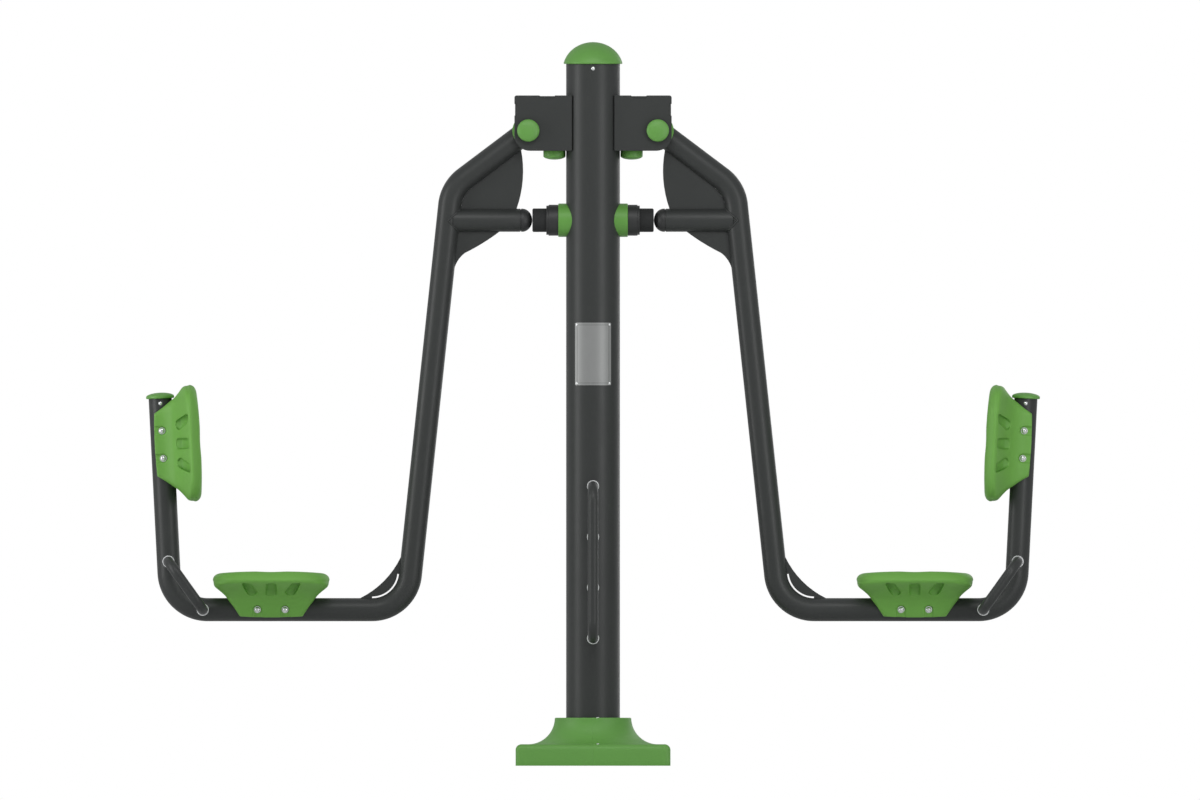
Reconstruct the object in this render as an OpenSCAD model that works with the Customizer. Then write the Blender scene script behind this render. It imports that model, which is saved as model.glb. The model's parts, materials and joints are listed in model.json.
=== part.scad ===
// Outdoor fitness station: a leg press for two people who sit facing one post.
// Each swinging arm is a bent tube that carries a seat and a backrest. It hangs from a
// bearing beside the post and comes back to rest against a rubber buffer.
// +Z is up, the front is -Y, and the origin is the middle of the base on the ground.
// The pieces of one side are drawn on the right (+X) and mirrored for the left.

/* [Post] */
// Outer diameter of the post
post_d = 140; // [130:1:150]
// Wall of the post
post_wall = 4; // [3:0.5:6]
// Height of the post's upper end
post_top = 1826; // [1790:1:1900]
// Overhang of the domed cap past the post
cap_overhang = 6.5; // [4:0.5:9]
// Height of the domed cap above the post
cap_h = 57; // [45:1:65]
// Depth of the cap's skirt inside the post
cap_skirt_h = 40; // [25:1:60]
// Wall of the moulded caps
cap_wall = 3; // [2:0.5:4]

/* [Base] */
// Side of the square base flange
flange_w = 340; // [320:2:360]
// Thickness of the base flange
flange_t = 12; // [8:1:16]
// Spacing of the anchor holes
anchor_spacing = 280; // [250:2:286]
// Diameter of the anchor holes
anchor_hole_d = 18; // [14:1:22]
// Length of a rib on the flange
rib_len = 80; // [60:1:90]
// Height of a rib on the flange
rib_h = 70; // [50:1:80]
// Thickness of a rib on the flange
rib_t = 8; // [6:1:12]
// Side of the square base cover
cover_w = 400; // [384:2:430]
// Height of the base cover's flat border
cover_h = 56; // [50:1:70]
// Radius of the hollow sweep up to the cover's neck
cover_sweep_r = 69; // [60:1:76]
// Width of the neck's flat top round the post
cover_neck_w = 29.5; // [26:0.5:34]
// Rounding of the cover's upper edge
cover_edge_r = 10; // [6:1:14]
// Wall of the base cover
cover_wall = 3; // [2:0.5:4]

/* [Information plate] */
// Width of the plate along its curve
plate_w = 100; // [80:1:120]
// Height of the plate
plate_h = 163; // [120:1:200]
// Height of the plate's lower edge above the ground
plate_z = 990; // [900:1:1100]
// Thickness of the plate
plate_t = 1.5; // [1:0.5:3]

/* [Foot bars and grips] */
// Diameter of the foot bars and the grips
bar_d = 26.9; // [24:0.1:30]
// Wall of the foot bars and the grips
bar_wall = 2.6; // [2:0.1:4]
// Bend radius of the foot bars and the grips
bar_bend_r = 45; // [35:1:60]
// Height of the lowest rung
foot_z = 332; // [280:1:380]
// Spacing of the rungs
foot_pitch = 131.7; // [120:0.1:140]
// Number of rungs on each side of the post
foot_rows = 4; // [3:1:5]
// Reach of the foot bars from the post's axis
foot_reach = 255; // [200:1:300]
// Reach of the grips from the arm's middle
grip_reach = 215; // [190:1:250]
// Distance of the grip's lower foot from the rear corner, along the seat tube
grip_foot_low = 83; // [75:1:88]
// Distance of the grip's upper foot from the rear corner, along the back tube
grip_foot_high = 125; // [110:1:150]

/* [Arms] */
// Outer diameter of the arm tube
tube_d = 60.3; // [56:0.1:64]
// Wall of the arm tube
tube_wall = 3; // [2.5:0.1:4]
// Bend radius of the arm tube
tube_bend_r = 100; // [90:1:110]
// Distance of the upper corner from the post's axis
knee_x = 368.4; // [350:0.1:390]
// Height of the upper corner
knee_z = 1502.5; // [1480:0.1:1520]
// Distance of the lower corner from the post's axis
heel_x = 484.8; // [460:0.1:510]
// Height of the seat tube's axis
seat_tube_z = 406.2; // [380:0.1:430]
// Distance of the rear corner from the post's axis
back_x = 1098.5; // [1080:0.1:1120]
// Length of the back tube above the rear corner
back_len = 550; // [530:1:600]
// Lean of the back tube away from the post
back_lean = 2.9; // [0:0.1:6]
// Thickness of the gusset plates
gusset_t = 8; // [6:1:12]
// Width of the slit between the lower gusset and the bend
gusset_slit = 3.8; // [2:0.1:6]

/* [Pivot] */
// Distance of the pivot from the post's axis
pivot_x = 168.5; // [160:0.1:180]
// Height of the pivot
pivot_z = 1653; // [1640:1:1670]
// How far an arm swings out
swing_angle = 20; // [15:1:24]
// Diameter of the axle
axle_d = 30; // [28:1:32]
// Outer diameter of the bearings
bearing_d = 62; // [60:1:64]
// Width of a bearing
bearing_w = 16; // [14:1:18]
// Number of balls in a bearing
ball_count = 9; // [7:1:9]
// Outer diameter of the pivot housing
housing_d = 76; // [72:1:80]
// Length of the pivot housing
housing_len = 74; // [70:1:78]
// Diameter of the housing covers
housing_cover_d = 82.8; // [82:0.1:86]
// Thickness of the housing covers
housing_cover_t = 4; // [3:0.5:5]
// Thickness of the bracket's cheeks
cheek_t = 8; // [6:0.5:10]
// Reach of the bracket beyond the pivot
bracket_out = 36.1; // [34:0.1:40]
// Height of the bracket above the pivot
bracket_rise = 91.2; // [85:0.1:100]
// Depth of the bracket below the pivot
bracket_drop = 53; // [50:0.1:60]
// Thickness of the bracket's hood
hood_t = 5; // [4:0.5:6]
// Thickness of the bracket's floor
floor_t = 6; // [5:0.5:8]
// Diameter of the bolt caps
bolt_cap_d = 58; // [56:1:62]
// Height of the bolt caps' straight side
bolt_cap_side = 13.5; // [12:0.5:16]
// Height of the bolt caps' dome
bolt_cap_dome = 9.4; // [9:0.1:12]

/* [Buffers] */
// Height of the resting buffer's axis
buffer_z = 1419.5; // [1400:0.5:1426]
// Diameter of the buffer's base
buffer_base_d = 87; // [84:1:95]
// Length of the buffer's base outside the post
buffer_base_len = 20.4; // [15:0.1:25]
// Diameter of the buffer's cup
cup_d = 80.6; // [76:0.1:83]
// Length of the buffer's cup
cup_len = 31.2; // [25:0.1:35]
// Diameter of the buffer's rubber
rubber_d = 61.5; // [56:0.1:66]
// Length of the rubber outside the cup
rubber_out = 36.3; // [30:0.1:40]
// Diameter of the end stop's rubber
stop_d = 50; // [44:1:54]
// Height of the end stop's rubber
stop_h = 28; // [24:1:30]

/* [Seat and backrest] */
// Length of the seat along its tube
pad_l = 300; // [280:1:330]
// Width of the seat
pad_w = 320; // [300:1:380]
// Height of the seat's rim above the tube's axis
pad_rise = 97; // [90:1:105]
// Height of the seat's widest line above the tube's axis
pad_belly = 75; // [68:1:80]
// Length of the skirt's lower edge
skirt_l = 164; // [150:1:180]
// Width of the skirt that straddles the tube
skirt_w = 84; // [80:1:96]
// Depth of the skirt's ends below the tube's axis
skirt_drop = 17.6; // [14:0.1:20]
// Depth of the dished top
dish_depth = 10; // [4:1:16]
// Spacing of the two bolts of a seat
pad_bolt_pitch = 72; // [60:1:84]
// Diameter of the seat bolts
pad_bolt_d = 10; // [8:1:12]
// Distance of the seat's middle from the post's axis
seat_x = 837.4; // [800:0.1:840]
// Height of the backrest's middle above the rear corner, along the back tube
back_seat_len = 429.2; // [400:0.1:440]

/* [Hidden] */
$fn = 96;
GREEN = "#68984e";
STEEL = "#434544";
RUBBER = "#232524";
PLATE = "#9a9b9a";
SILVER = "#c6c8c8";

// Clearances
cut_over = 1;
fit_gap = 0.3;
slip_gap = 0.05;
rest_gap = 0.3;
bend_swell = 0.2;
arc_steps = 8;
dome_steps = 14;

// Radii and lengths that follow the driving sizes
post_r = post_d / 2;
tube_r = tube_d / 2;
bar_r = bar_d / 2;
axle_r = axle_d / 2;
bearing_r = bearing_d / 2;
housing_r = housing_d / 2;
pad_bolt_r = pad_bolt_d / 2;

// Post cap
cap_chamfer = 2.5;
cap_dome_drop = 13.7;
cap_screw_z = 11.7;
cap_screw_head_r = 5;
cap_screw_head_h = 3;
cap_screw_r = 2.5;

// Base
flange_corner_r = 15;
rib_toe = 10;
rib_shoulder = 12;
cover_corner_r = 12;
lap_w = 24;
lap_root = 12;
lap_t = 3;
lap_len = 18;
cover_screw_x = 12.6;
cover_screw_head_r = 4;
cover_screw_head_h = 2;
cover_screw_r = 2;

// Information plate
plate_corner_r = 4;
rivet_inset = 5;
rivet_head_r = 3;
rivet_head_h = 1.5;
rivet_r = 1.6;

// Collar rings of the foot bars and the grips
collar_w = 2.8;
collar_t = 3;

// Bracket
cheek_corner_r = 40;
cheek_bite = 1;
cheek_top_corner_r = 6;
hood_bend_r = 8;
hood_flange_z = 35;
notch_step = 1.7;
top_notch_at = 49.2;
top_notch_w = 39;
side_notch_at = 54;
side_notch_w = 30;
floor_out = 18.5;
side_gap = 1;
cheek_y = housing_len / 2 + housing_cover_t + side_gap;
bracket_y = cheek_y + cheek_t;
bracket_top_z = pivot_z + bracket_rise;
bracket_bottom_z = pivot_z - bracket_drop;
bracket_end_x = pivot_x + bracket_out;
floor_top_z = bracket_bottom_z + floor_t;

// Axle ends and bolt caps
thread_r = 11;
washer_r = 20;
washer_t = 3;
nut_af = 34;
nut_t = 12;
thread_out = 3;
bolt_cap_wall = 2.5;

// Bearings
ball_r = 4.76;
ball_pitch_r = (axle_r + bearing_r) / 2;
race_t = 4;
housing_lip = 3;
cover_hole_gap = 1.5;

// Stop finger and end stop
finger_gap = 8.5;
finger_reach = pivot_x - post_r - finger_gap;
finger_t = 22;
finger_w = 50;
finger_corner_r = 6;
finger_low = floor_top_z + stop_h + rest_gap - pivot_z;
stop_gap = 5.4;
stop_x = post_r + stop_d / 2 + stop_gap;
stop_edge_r = 3;
stud_r = 5;
stud_in = 10;
stud_nut_af = 17;
stud_nut_t = 8;
stud_washer_r = 12;
stud_washer_t = 2;
stud_tail = 2;

// Resting buffer, from the post outward
buffer_base_x = post_r + buffer_base_len;
cup_end_x = buffer_base_x + cup_len;
rubber_end_x = cup_end_x + rubber_out;
plug_side = 4.5;
plug_dome = 26.3;
plug_groove = 0.8;
plug_skirt = 20;
stub_end_x = rubber_end_x + rest_gap + plug_dome + plug_side;
cup_lip_len = 6;
cup_lip_step = 2.3;
cup_floor = 5;
rubber_edge_r = 4;
buffer_stud_r = 6;
buffer_stud_in = 15;

// Route of the arm tube in the plane of its arm, from the pivot to the upper end
back_end = [back_x + back_len * sin(back_lean), seat_tube_z + back_len * cos(back_lean)];
arm_path = [[pivot_x, pivot_z], [knee_x, knee_z], [heel_x, seat_tube_z],
            [back_x, seat_tube_z], back_end];

// Feet of the grips on the arm tube's middle line
grip_low = [back_x - grip_foot_low, seat_tube_z];
grip_high = [back_x + grip_foot_high * sin(back_lean), seat_tube_z + grip_foot_high * cos(back_lean)];

// Mushroom cap on the arm tube
tube_cap_over = 6.3;
tube_cap_rim = 5;
tube_cap_h = 15.4;
tube_cap_skirt = 25;
tube_cap_screw_at = 12.7;

// Gussets: corners as shares of the reach from pivot to knee and of the drop from pivot to buffer
upper_gusset_shares = [[0.093, 0.214], [0.15, 0.869], [0.377, 1.129], [0.822, 1.364], [0.96, 1.533]];
upper_bow_share = 0.066;
lower_bow_share = 0.024;
fillet_bow_share = -0.083;
heel_plate_low = 31;
heel_plate_high = 44;
heel_bow_share = -0.084;

// Seat: rows of [height, length, width] shares from the skirt's lower edge to the widest line
flare_shares = [[0, 0, 0], [0.25, 0.215, 0.03], [0.47, 0.43, 0.12], [0.59, 0.545, 0.24],
                [0.72, 0.735, 0.45], [0.84, 0.93, 0.74], [0.93, 0.985, 0.93], [1, 1, 1]];
rim_r = 28;
rim_crown = 4;
skirt_bow = 2.9;
pan_power = 4;
skirt_power = 14;
pad_points = 48;
rim_turns = [25, 50, 72, 90];
dish_shares = [0.8, 0.55, 0.28];
pocket_floor_share = 0.36;
mid_pocket_shares = [[-0.085, 0.69], [-0.1, 0.385], [-0.05, 0.325],
                     [0.05, 0.325], [0.1, 0.385], [0.085, 0.69]];
side_pocket_shares = [[0.353, 0.69], [0.235, 0.455], [0.33, 0.33], [0.428, 0.395], [0.515, 0.7]];
pocket_corner_r = 5;
bolt_recess_r = 11.5;
bolt_seat_y = 38;
bolt_washer_r = 9.5;
bolt_washer_t = 1.5;
bolt_head_r = 8;
bolt_head_h = 5;
socket_af = 6;
socket_depth = 3;

// Functions for outlines and routes
function unit(v) = v / norm(v);
function heading(a, b) = atan2(b[1] - a[1], b[0] - a[0]);
function turn_at(p, i) =
    let (t = heading(p[i], p[i + 1]) - heading(p[i - 1], p[i]))
    t > 180 ? t - 360 : t < -180 ? t + 360 : t;
function tangent_len(p, i, r) =
    i <= 0 || i >= len(p) - 1 ? 0 : r * tan(abs(turn_at(p, i)) / 2);
function along(a, b, d) = a + unit(b - a) * d;

// The path with both of its ends carried on by the same length
function carried_on(p, d) =
    [for (i = [0:len(p) - 1])
        i == 0 ? along(p[0], p[1], -d) :
        i == len(p) - 1 ? along(p[i], p[i - 1], -d) : p[i]];

// Points of an arc from a to b that bows to the right of the way by a share of its chord
function bow(a, b, share) =
    let (c = norm(b - a), s = share * c,
         r = (c * c / 4 + s * s) / (2 * s), side = unit([b[1] - a[1], a[0] - b[0]]),
         m = (a + b) / 2 + side * (s - r), t0 = heading(m, a), d = heading(m, b) - t0,
         t = d > 180 ? d - 360 : d < -180 ? d + 360 : d)
    [for (i = [0:arc_steps]) m + abs(r) * [cos(t0 + t * i / arc_steps), sin(t0 + t * i / arc_steps)]];

// Corner b of an outline a-b-c, rounded to a radius
function round_corner(a, b, c, r) =
    r == 0 ? [b] :
    let (u = unit(a - b), w = unit(c - b), half = acos(u * w) / 2,
         m = b + unit(u + w) * r / sin(half), p = b + u * r / tan(half), q = b + w * r / tan(half),
         t0 = heading(m, p), d = heading(m, q) - t0, t = d > 180 ? d - 360 : d < -180 ? d + 360 : d)
    [for (i = [0:arc_steps]) m + r * [cos(t0 + t * i / arc_steps), sin(t0 + t * i / arc_steps)]];

// Outline whose corners are given as [x, y, radius]
function rounded(c) =
    let (n = len(c))
    [for (i = [0:n - 1])
        let (a = c[(i + n - 1) % n], b = c[i], d = c[(i + 1) % n])
        for (p = round_corner([a[0], a[1]], [b[0], b[1]], [d[0], d[1]], b[2])) p];

function rounded_box(x0, y0, x1, y1, r) = rounded([[x0, y0, r], [x1, y0, r], [x1, y1, r], [x0, y1, r]]);

// Elliptical arc in a turned profile, from one angle to another
function dome(a, b, lift, from, to) =
    [for (i = [0:dome_steps])
        let (t = from + (to - from) * i / dome_steps) [a * cos(t), lift + b * sin(t)]];

// Ring of a loft: a rounded rectangle whose corners sharpen with the power
function squircle(a, b, power, z, sag = 0) =
    [for (i = [0:pad_points - 1])
        let (t = 360 * i / pad_points, c = cos(t), s = sin(t),
             x = a * sign(c) * pow(abs(c), 2 / power), y = b * sign(s) * pow(abs(s), 2 / power))
        [x, y, z + sag * (x / a) * (x / a)]];

// Flat ring of a loft from a plane outline
function ring_at(outline, z) = [for (p = outline) [p[0], p[1], z]];

// Solid through a stack of rings with equal numbers of points
module loft(rings) {
    n = len(rings[0]);
    m = len(rings);
    points = concat([for (r = rings) each r], [for (r = [rings[0], rings[m - 1]]) centre(r)]);
    sides = [for (j = [0:m - 2], i = [0:n - 1])
        let (k = (i + 1) % n) for (f = [[j * n + i, (j + 1) * n + i, j * n + k],
                                        [j * n + k, (j + 1) * n + i, (j + 1) * n + k]]) f];
    lower = [for (i = [0:n - 1]) [m * n, i, (i + 1) % n]];
    upper = [for (i = [0:n - 1]) [m * n + 1, (m - 1) * n + (i + 1) % n, (m - 1) * n + i]];
    polyhedron(points, concat(sides, lower, upper), convexity = 6);
}

function centre(ring) = [0, 0, min([for (p = ring) p[2]])];

// Plane shapes stand up in the plane of the arms, centred on it
module upright(t) {
    rotate([90, 0, 0]) linear_extrude(height = t, center = true, convexity = 6) children();
}

// Cylinder that lies along Y, centred on the plane of the arms
module cross_cylinder(r, length) {
    rotate([90, 0, 0]) cylinder(r = r, h = length, center = true);
}

module post_core() {
    cylinder(r = post_r, h = post_top);
}

// Round bar along a plane route with bends of one radius. A bend is a trace thicker than
// the straight stretches, whose ends reach a little way into it.
module bent_bar(p, r, bend) {
    translate([p[0][0], p[0][1], 0]) rotate([0, 0, heading(p[0], p[1])]) bar_stretch(p, r, bend, 0);
}

module bar_stretch(p, r, bend, i) {
    lap = sqrt(bend_swell * bend);
    length = norm(p[i + 1] - p[i]) - tangent_len(p, i, bend) - tangent_len(p, i + 1, bend);
    start = i == 0 ? 0 : -lap;
    end = i == len(p) - 2 ? length : length + lap;
    translate([start, 0, 0]) rotate([0, 90, 0]) cylinder(r = r, h = end - start);
    if (i < len(p) - 2) {
        t = turn_at(p, i + 1);
        side = sign(t);
        translate([length, 0, 0]) {
            mirror([0, (1 - side) / 2, 0]) translate([0, bend, 0]) rotate([0, 0, -90])
                rotate_extrude(angle = abs(t)) translate([bend, 0]) circle(r = r + bend_swell);
            translate([0, side * bend, 0]) rotate([0, 0, t]) translate([0, -side * bend, 0])
                bar_stretch(p, r, bend, i + 1);
        }
    }
}

// Screw or rivet along +Z with a domed head that stands on z = 0
module domed_screw(head_r, head_h, shank_r, shank_len) {
    rotate_extrude()
        polygon(concat([[0, -shank_len], [shank_r, -shank_len], [shank_r, 0]],
                       dome(head_r, head_h, 0, 0, 90)));
}

module hex_nut(af, t) {
    cylinder(d = af / cos(30), h = t, $fn = 6);
}

// Post and base
module post_tube() {
    color(STEEL) difference() {
        translate([0, 0, flange_t]) cylinder(r = post_r, h = post_top - flange_t);
        translate([0, 0, flange_t - cut_over])
            cylinder(r = post_r - post_wall, h = post_top - flange_t + 2 * cut_over);
        translate([0, 0, post_top - cap_screw_z])
            cross_cylinder(cap_screw_r + slip_gap, post_d + cut_over);
        at_rivets() translate([0, 0, -post_wall - plate_t])
            cylinder(r = rivet_r + slip_gap, h = post_wall + 2 * plate_t);
    }
}

module base_flange() {
    color(STEEL) {
        difference() {
            linear_extrude(height = flange_t)
                polygon(rounded_box(-flange_w / 2, -flange_w / 2, flange_w / 2, flange_w / 2,
                                    flange_corner_r));
            for (x = [-1, 1], y = [-1, 1])
                translate([x * anchor_spacing / 2, y * anchor_spacing / 2, -cut_over])
                    cylinder(d = anchor_hole_d, h = flange_t + 2 * cut_over);
        }
        difference() {
            for (a = [0:90:270]) rotate([0, 0, a]) upright(rib_t) polygon(rib_outline());
            post_core();
        }
    }
}

function rib_outline() =
    [[0, flange_t], [post_r + rib_len, flange_t], [post_r + rib_len, flange_t + rib_toe],
     [post_r + rib_shoulder, flange_t + rib_h], [0, flange_t + rib_h]];

// The cover's solid form, drawn in by an inset on every side but the ground
module cover_form(inset, below = 0) {
    half = cover_w / 2 - inset;
    edge = cover_edge_r - inset;
    top = cover_h - inset;
    corner = cover_corner_r - inset;
    neck = post_r + cover_neck_w - inset;
    sweep = cover_sweep_r + inset;
    neck_top = cover_h + cover_sweep_r;
    last = asin(inset / sweep);
    loft(concat([ring_at(rounded_box(-half, -half, half, half, corner), -below)],
        [for (i = [0:arc_steps])
            let (t = 90 * i / arc_steps, draw = edge * (1 - cos(t)), w = half - draw)
            ring_at(rounded_box(-w, -w, w, w, corner - draw / 2), top - edge * (1 - sin(t)))]));
    rotate_extrude()
        polygon(concat([[0, top - sweep / 2], [neck + sweep, top - sweep / 2]],
            [for (i = [0:2 * arc_steps])
                let (t = 90 + (last - 90) * i / (2 * arc_steps))
                [neck + sweep - sweep * cos(t), neck_top - sweep * sin(t)]],
            [[0, neck_top - inset]]));
}

// Half of the base cover on +X, with the tabs behind that lap under the other half
module cover_half() {
    neck_top = cover_h + cover_sweep_r;
    border_r = post_r + cover_neck_w + cover_sweep_r;
    difference() {
        union() {
            intersection() {
                difference() {
                    cover_form(0);
                    cover_form(cover_wall, cut_over);
                }
                translate([0, -cover_w, 0]) cube([cover_w, 2 * cover_w, 2 * neck_top]);
            }
            lap_tab(post_r + 2 * fit_gap + lap_t, neck_top);
            lap_tab(border_r, cover_h);
        }
        translate([0, 0, cover_h]) cylinder(r = post_r + fit_gap, h = neck_top);
        at_cover_screws() cylinder(r = cover_screw_r + slip_gap, h = cover_h, center = true);
    }
}

// Tab that lies under both halves of a flat top, just behind the post
module lap_tab(y, z) {
    translate([0, y, z - cover_wall - lap_t]) cube([lap_root, lap_len, lap_t]);
    translate([-lap_w, y, z - cover_wall - lap_t]) cube([lap_w, lap_len, lap_t - slip_gap]);
}

// Places of the four cover screws: two behind on the left, two in front on the right
module at_cover_screws() {
    neck_y = post_r + 2 * fit_gap + lap_t + lap_len / 2;
    border_y = post_r + cover_neck_w + cover_sweep_r + lap_len / 2;
    for (a = [0, 180]) rotate([0, 0, a]) {
        translate([-cover_screw_x, neck_y, cover_h + cover_sweep_r]) children();
        translate([-cover_screw_x, border_y, cover_h]) children();
    }
}

module base_cover_right() {
    color(GREEN) cover_half();
}

module base_cover_left() {
    color(GREEN) rotate([0, 0, 180]) cover_half();
}

module post_cap() {
    rim = post_r + cap_overhang;
    b = cap_h + cap_dome_drop;
    t0 = asin((cap_dome_drop + cap_chamfer) / b);
    a = rim / cos(t0);
    skirt = post_r - post_wall - fit_gap;
    inner = skirt - cap_wall;
    color(GREEN) difference() {
        translate([0, 0, post_top]) rotate_extrude()
            polygon(concat([[inner, -cap_skirt_h], [skirt, -cap_skirt_h], [skirt, 0], [rim - cap_chamfer, 0]],
                dome(a, b, -cap_dome_drop, t0, 90),
                dome(a - cap_wall, b - cap_wall, -cap_dome_drop, 90, acos(inner / (a - cap_wall)))));
        translate([0, 0, post_top - cap_screw_z])
            cross_cylinder(cap_screw_r + slip_gap, post_d);
    }
}

module cover_screws() {
    color(SILVER) {
        for (a = [90, -90]) translate([0, 0, post_top - cap_screw_z]) rotate([a, 0, 0])
            translate([0, 0, post_r])
                domed_screw(cap_screw_head_r, cap_screw_head_h, cap_screw_r,
                            post_wall + fit_gap + 2 * cap_wall);
        at_cover_screws()
            domed_screw(cover_screw_head_r, cover_screw_head_h, cover_screw_r, cover_wall + 2 * lap_t);
    }
}

// Information plate
module at_rivets() {
    turn = (plate_w / 2 - rivet_inset) / post_r * 180 / PI;
    for (s = [-1, 1], z = [plate_z + rivet_inset, plate_z + plate_h - rivet_inset])
        rotate([0, 0, s * turn]) translate([0, -post_r - plate_t, z]) rotate([90, 0, 0]) children();
}

module info_plate() {
    half_turn = plate_w / 2 / post_r * 180 / PI;
    half_chord = post_r * sin(half_turn) + plate_t;
    color(PLATE) difference() {
        intersection() {
            rotate([0, 0, -90 - half_turn]) translate([0, 0, plate_z])
                rotate_extrude(angle = 2 * half_turn) translate([post_r, 0]) square([plate_t, plate_h]);
            translate([0, -post_r, 0]) upright(post_d)
                polygon(rounded_box(-half_chord, plate_z, half_chord, plate_z + plate_h, plate_corner_r));
        }
        at_rivets() cylinder(r = rivet_r + slip_gap, h = 4 * plate_t, center = true);
    }
}

module plate_rivets() {
    color(SILVER) at_rivets()
        domed_screw(rivet_head_r, rivet_head_h, rivet_r, plate_t + post_wall + rivet_head_h);
}

// Foot bars
module foot_frame(r, trim) {
    top = foot_z + (foot_rows - 1) * foot_pitch;
    start = post_r - bar_r;
    rotate([0, 0, 90]) rotate([90, 0, 0]) {
        bent_bar([[start, foot_z], [foot_reach, foot_z], [foot_reach, top], [start, top]], r, bar_bend_r);
        for (i = [1:foot_rows - 2])
            translate([start, foot_z + i * foot_pitch, 0]) rotate([0, 90, 0])
                cylinder(r = r, h = foot_reach - trim - start);
    }
}

module foot_bars() {
    color(STEEL) for (a = [0, 180]) rotate([0, 0, a]) difference() {
        foot_frame(bar_r, 0);
        foot_frame(bar_r - bar_wall, bar_r);
        cylinder(r = post_r, h = post_top);
    }
}

module foot_bar_collars() {
    color(SILVER) for (a = [0, 180], i = [0:foot_rows - 1]) difference() {
        translate([0, 0, foot_z + i * foot_pitch]) rotate([90, 0, a]) difference() {
            cylinder(r = bar_r + collar_w, h = post_r + collar_t);
            cylinder(r = bar_r, h = post_r + collar_t + cut_over);
        }
        post_core();
    }
}

// Pivot bracket of the right side
// A cheek ends square, and only the inner corner of its end reaches the post
module cheek_plate() {
    root = sqrt(post_r * post_r - cheek_y * cheek_y) - cheek_bite;
    top = bracket_top_z;
    notch = hood_t + notch_step;
    difference() {
        polygon(rounded([[root, bracket_bottom_z, 0], [bracket_end_x, bracket_bottom_z, cheek_corner_r],
                         [bracket_end_x, top, cheek_top_corner_r], [root, top, 0]]));
        translate([pivot_x - top_notch_at - top_notch_w / 2, top - notch])
            square([top_notch_w, notch + cut_over]);
        translate([bracket_end_x - notch, pivot_z + side_notch_at - side_notch_w / 2])
            square([notch + cut_over, side_notch_w]);
    }
}

module bracket_cheeks() {
    color(STEEL) difference() {
        for (s = [-1, 1]) translate([0, s * (cheek_y + cheek_t / 2), 0]) upright(cheek_t) cheek_plate();
        post_core();
        translate([pivot_x, 0, pivot_z]) cross_cylinder(axle_r + slip_gap, 2 * bracket_y + cut_over);
    }
}

// Bent plate over the bracket; its tabs reach out through the notches of the cheeks
module bracket_hood() {
    top = bracket_top_z - notch_step;
    end = bracket_end_x - notch_step;
    low = pivot_z + hood_flange_z;
    color(STEEL) difference() {
        union() {
            upright(2 * cheek_y)
                polygon(rounded([[0, top - hood_t, 0], [end - hood_t, top - hood_t, hood_bend_r - hood_t],
                                 [end - hood_t, low, 0], [end, low, 0], [end, top, hood_bend_r], [0, top, 0]]));
            translate([pivot_x - top_notch_at - top_notch_w / 2, -bracket_y, top - hood_t])
                cube([top_notch_w, 2 * bracket_y, hood_t]);
            translate([end - hood_t, -bracket_y, pivot_z + side_notch_at - side_notch_w / 2])
                cube([hood_t, 2 * bracket_y, side_notch_w]);
        }
        post_core();
    }
}

module bracket_floor() {
    color(STEEL) difference() {
        translate([0, -cheek_y, bracket_bottom_z]) cube([pivot_x - floor_out, 2 * cheek_y, floor_t]);
        post_core();
        translate([stop_x, 0, bracket_bottom_z - cut_over])
            cylinder(r = stud_r + slip_gap, h = floor_t + 2 * cut_over);
    }
}

// Axle with its spacers, washers and nuts
module axle() {
    color(SILVER) translate([pivot_x, 0, pivot_z]) {
        cross_cylinder(axle_r, 2 * bracket_y);
        axle_sleeve(race_t - fit_gap, housing_len / 2 - bearing_w, 0);
        for (s = [0, 180]) rotate([0, 0, s]) {
            axle_sleeve(race_t, cheek_y, housing_len / 2);
            rotate([90, 0, 0]) translate([0, 0, bracket_y]) {
                cylinder(r = thread_r, h = washer_t + nut_t + thread_out);
                difference() {
                    union() {
                        cylinder(r = washer_r, h = washer_t);
                        translate([0, 0, washer_t]) hex_nut(nut_af, nut_t);
                    }
                    translate([0, 0, -cut_over])
                        cylinder(r = thread_r + slip_gap, h = washer_t + nut_t + 2 * cut_over);
                }
            }
        }
    }
}

// Sleeve on the axle that reaches to y = out on the front, from y = in or through the middle
module axle_sleeve(t, out, in) {
    start = in == 0 ? -out : in;
    rotate([90, 0, 0]) translate([0, 0, start]) difference() {
        cylinder(r = axle_r + t, h = out - start);
        translate([0, 0, -cut_over]) cylinder(r = axle_r + slip_gap, h = out - start + 2 * cut_over);
    }
}

module bolt_cap() {
    r = bolt_cap_d / 2;
    rotate_extrude()
        polygon(concat([[r - bolt_cap_wall, 0], [r, 0]], dome(r, bolt_cap_dome, bolt_cap_side, 0, 90),
                       dome(r - bolt_cap_wall, bolt_cap_dome - bolt_cap_wall, bolt_cap_side, 90, 0)));
}

module bolt_caps() {
    color(GREEN) {
        for (a = [90, -90]) translate([pivot_x, 0, pivot_z]) rotate([a, 0, 0])
            translate([0, 0, bracket_y]) bolt_cap();
        translate([stop_x, 0, bracket_bottom_z]) rotate([180, 0, 0]) bolt_cap();
    }
}

// Bearings: a ring with a grooved race on one side
module race_ring(r_out, r_in) {
    rotate_extrude() difference() {
        translate([r_in, 0]) square([r_out - r_in, bearing_w]);
        translate([ball_pitch_r, bearing_w / 2]) circle(r = ball_r + slip_gap);
    }
}

module at_bearings() {
    translate([pivot_x, 0, pivot_z]) for (s = [0, 180]) rotate([90, 0, s])
        translate([0, 0, housing_len / 2 - bearing_w]) children();
}

module bearing_inner_rings() {
    color(SILVER) at_bearings() race_ring(axle_r + race_t, axle_r + slip_gap);
}

module bearing_outer_rings() {
    color(SILVER) at_bearings() {
        race_ring(bearing_r, bearing_r - race_t);
        for (i = [0:ball_count - 1]) rotate([0, 0, 360 * i / ball_count])
            translate([ball_pitch_r, 0, bearing_w / 2]) sphere(r = ball_r);
    }
}

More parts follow.
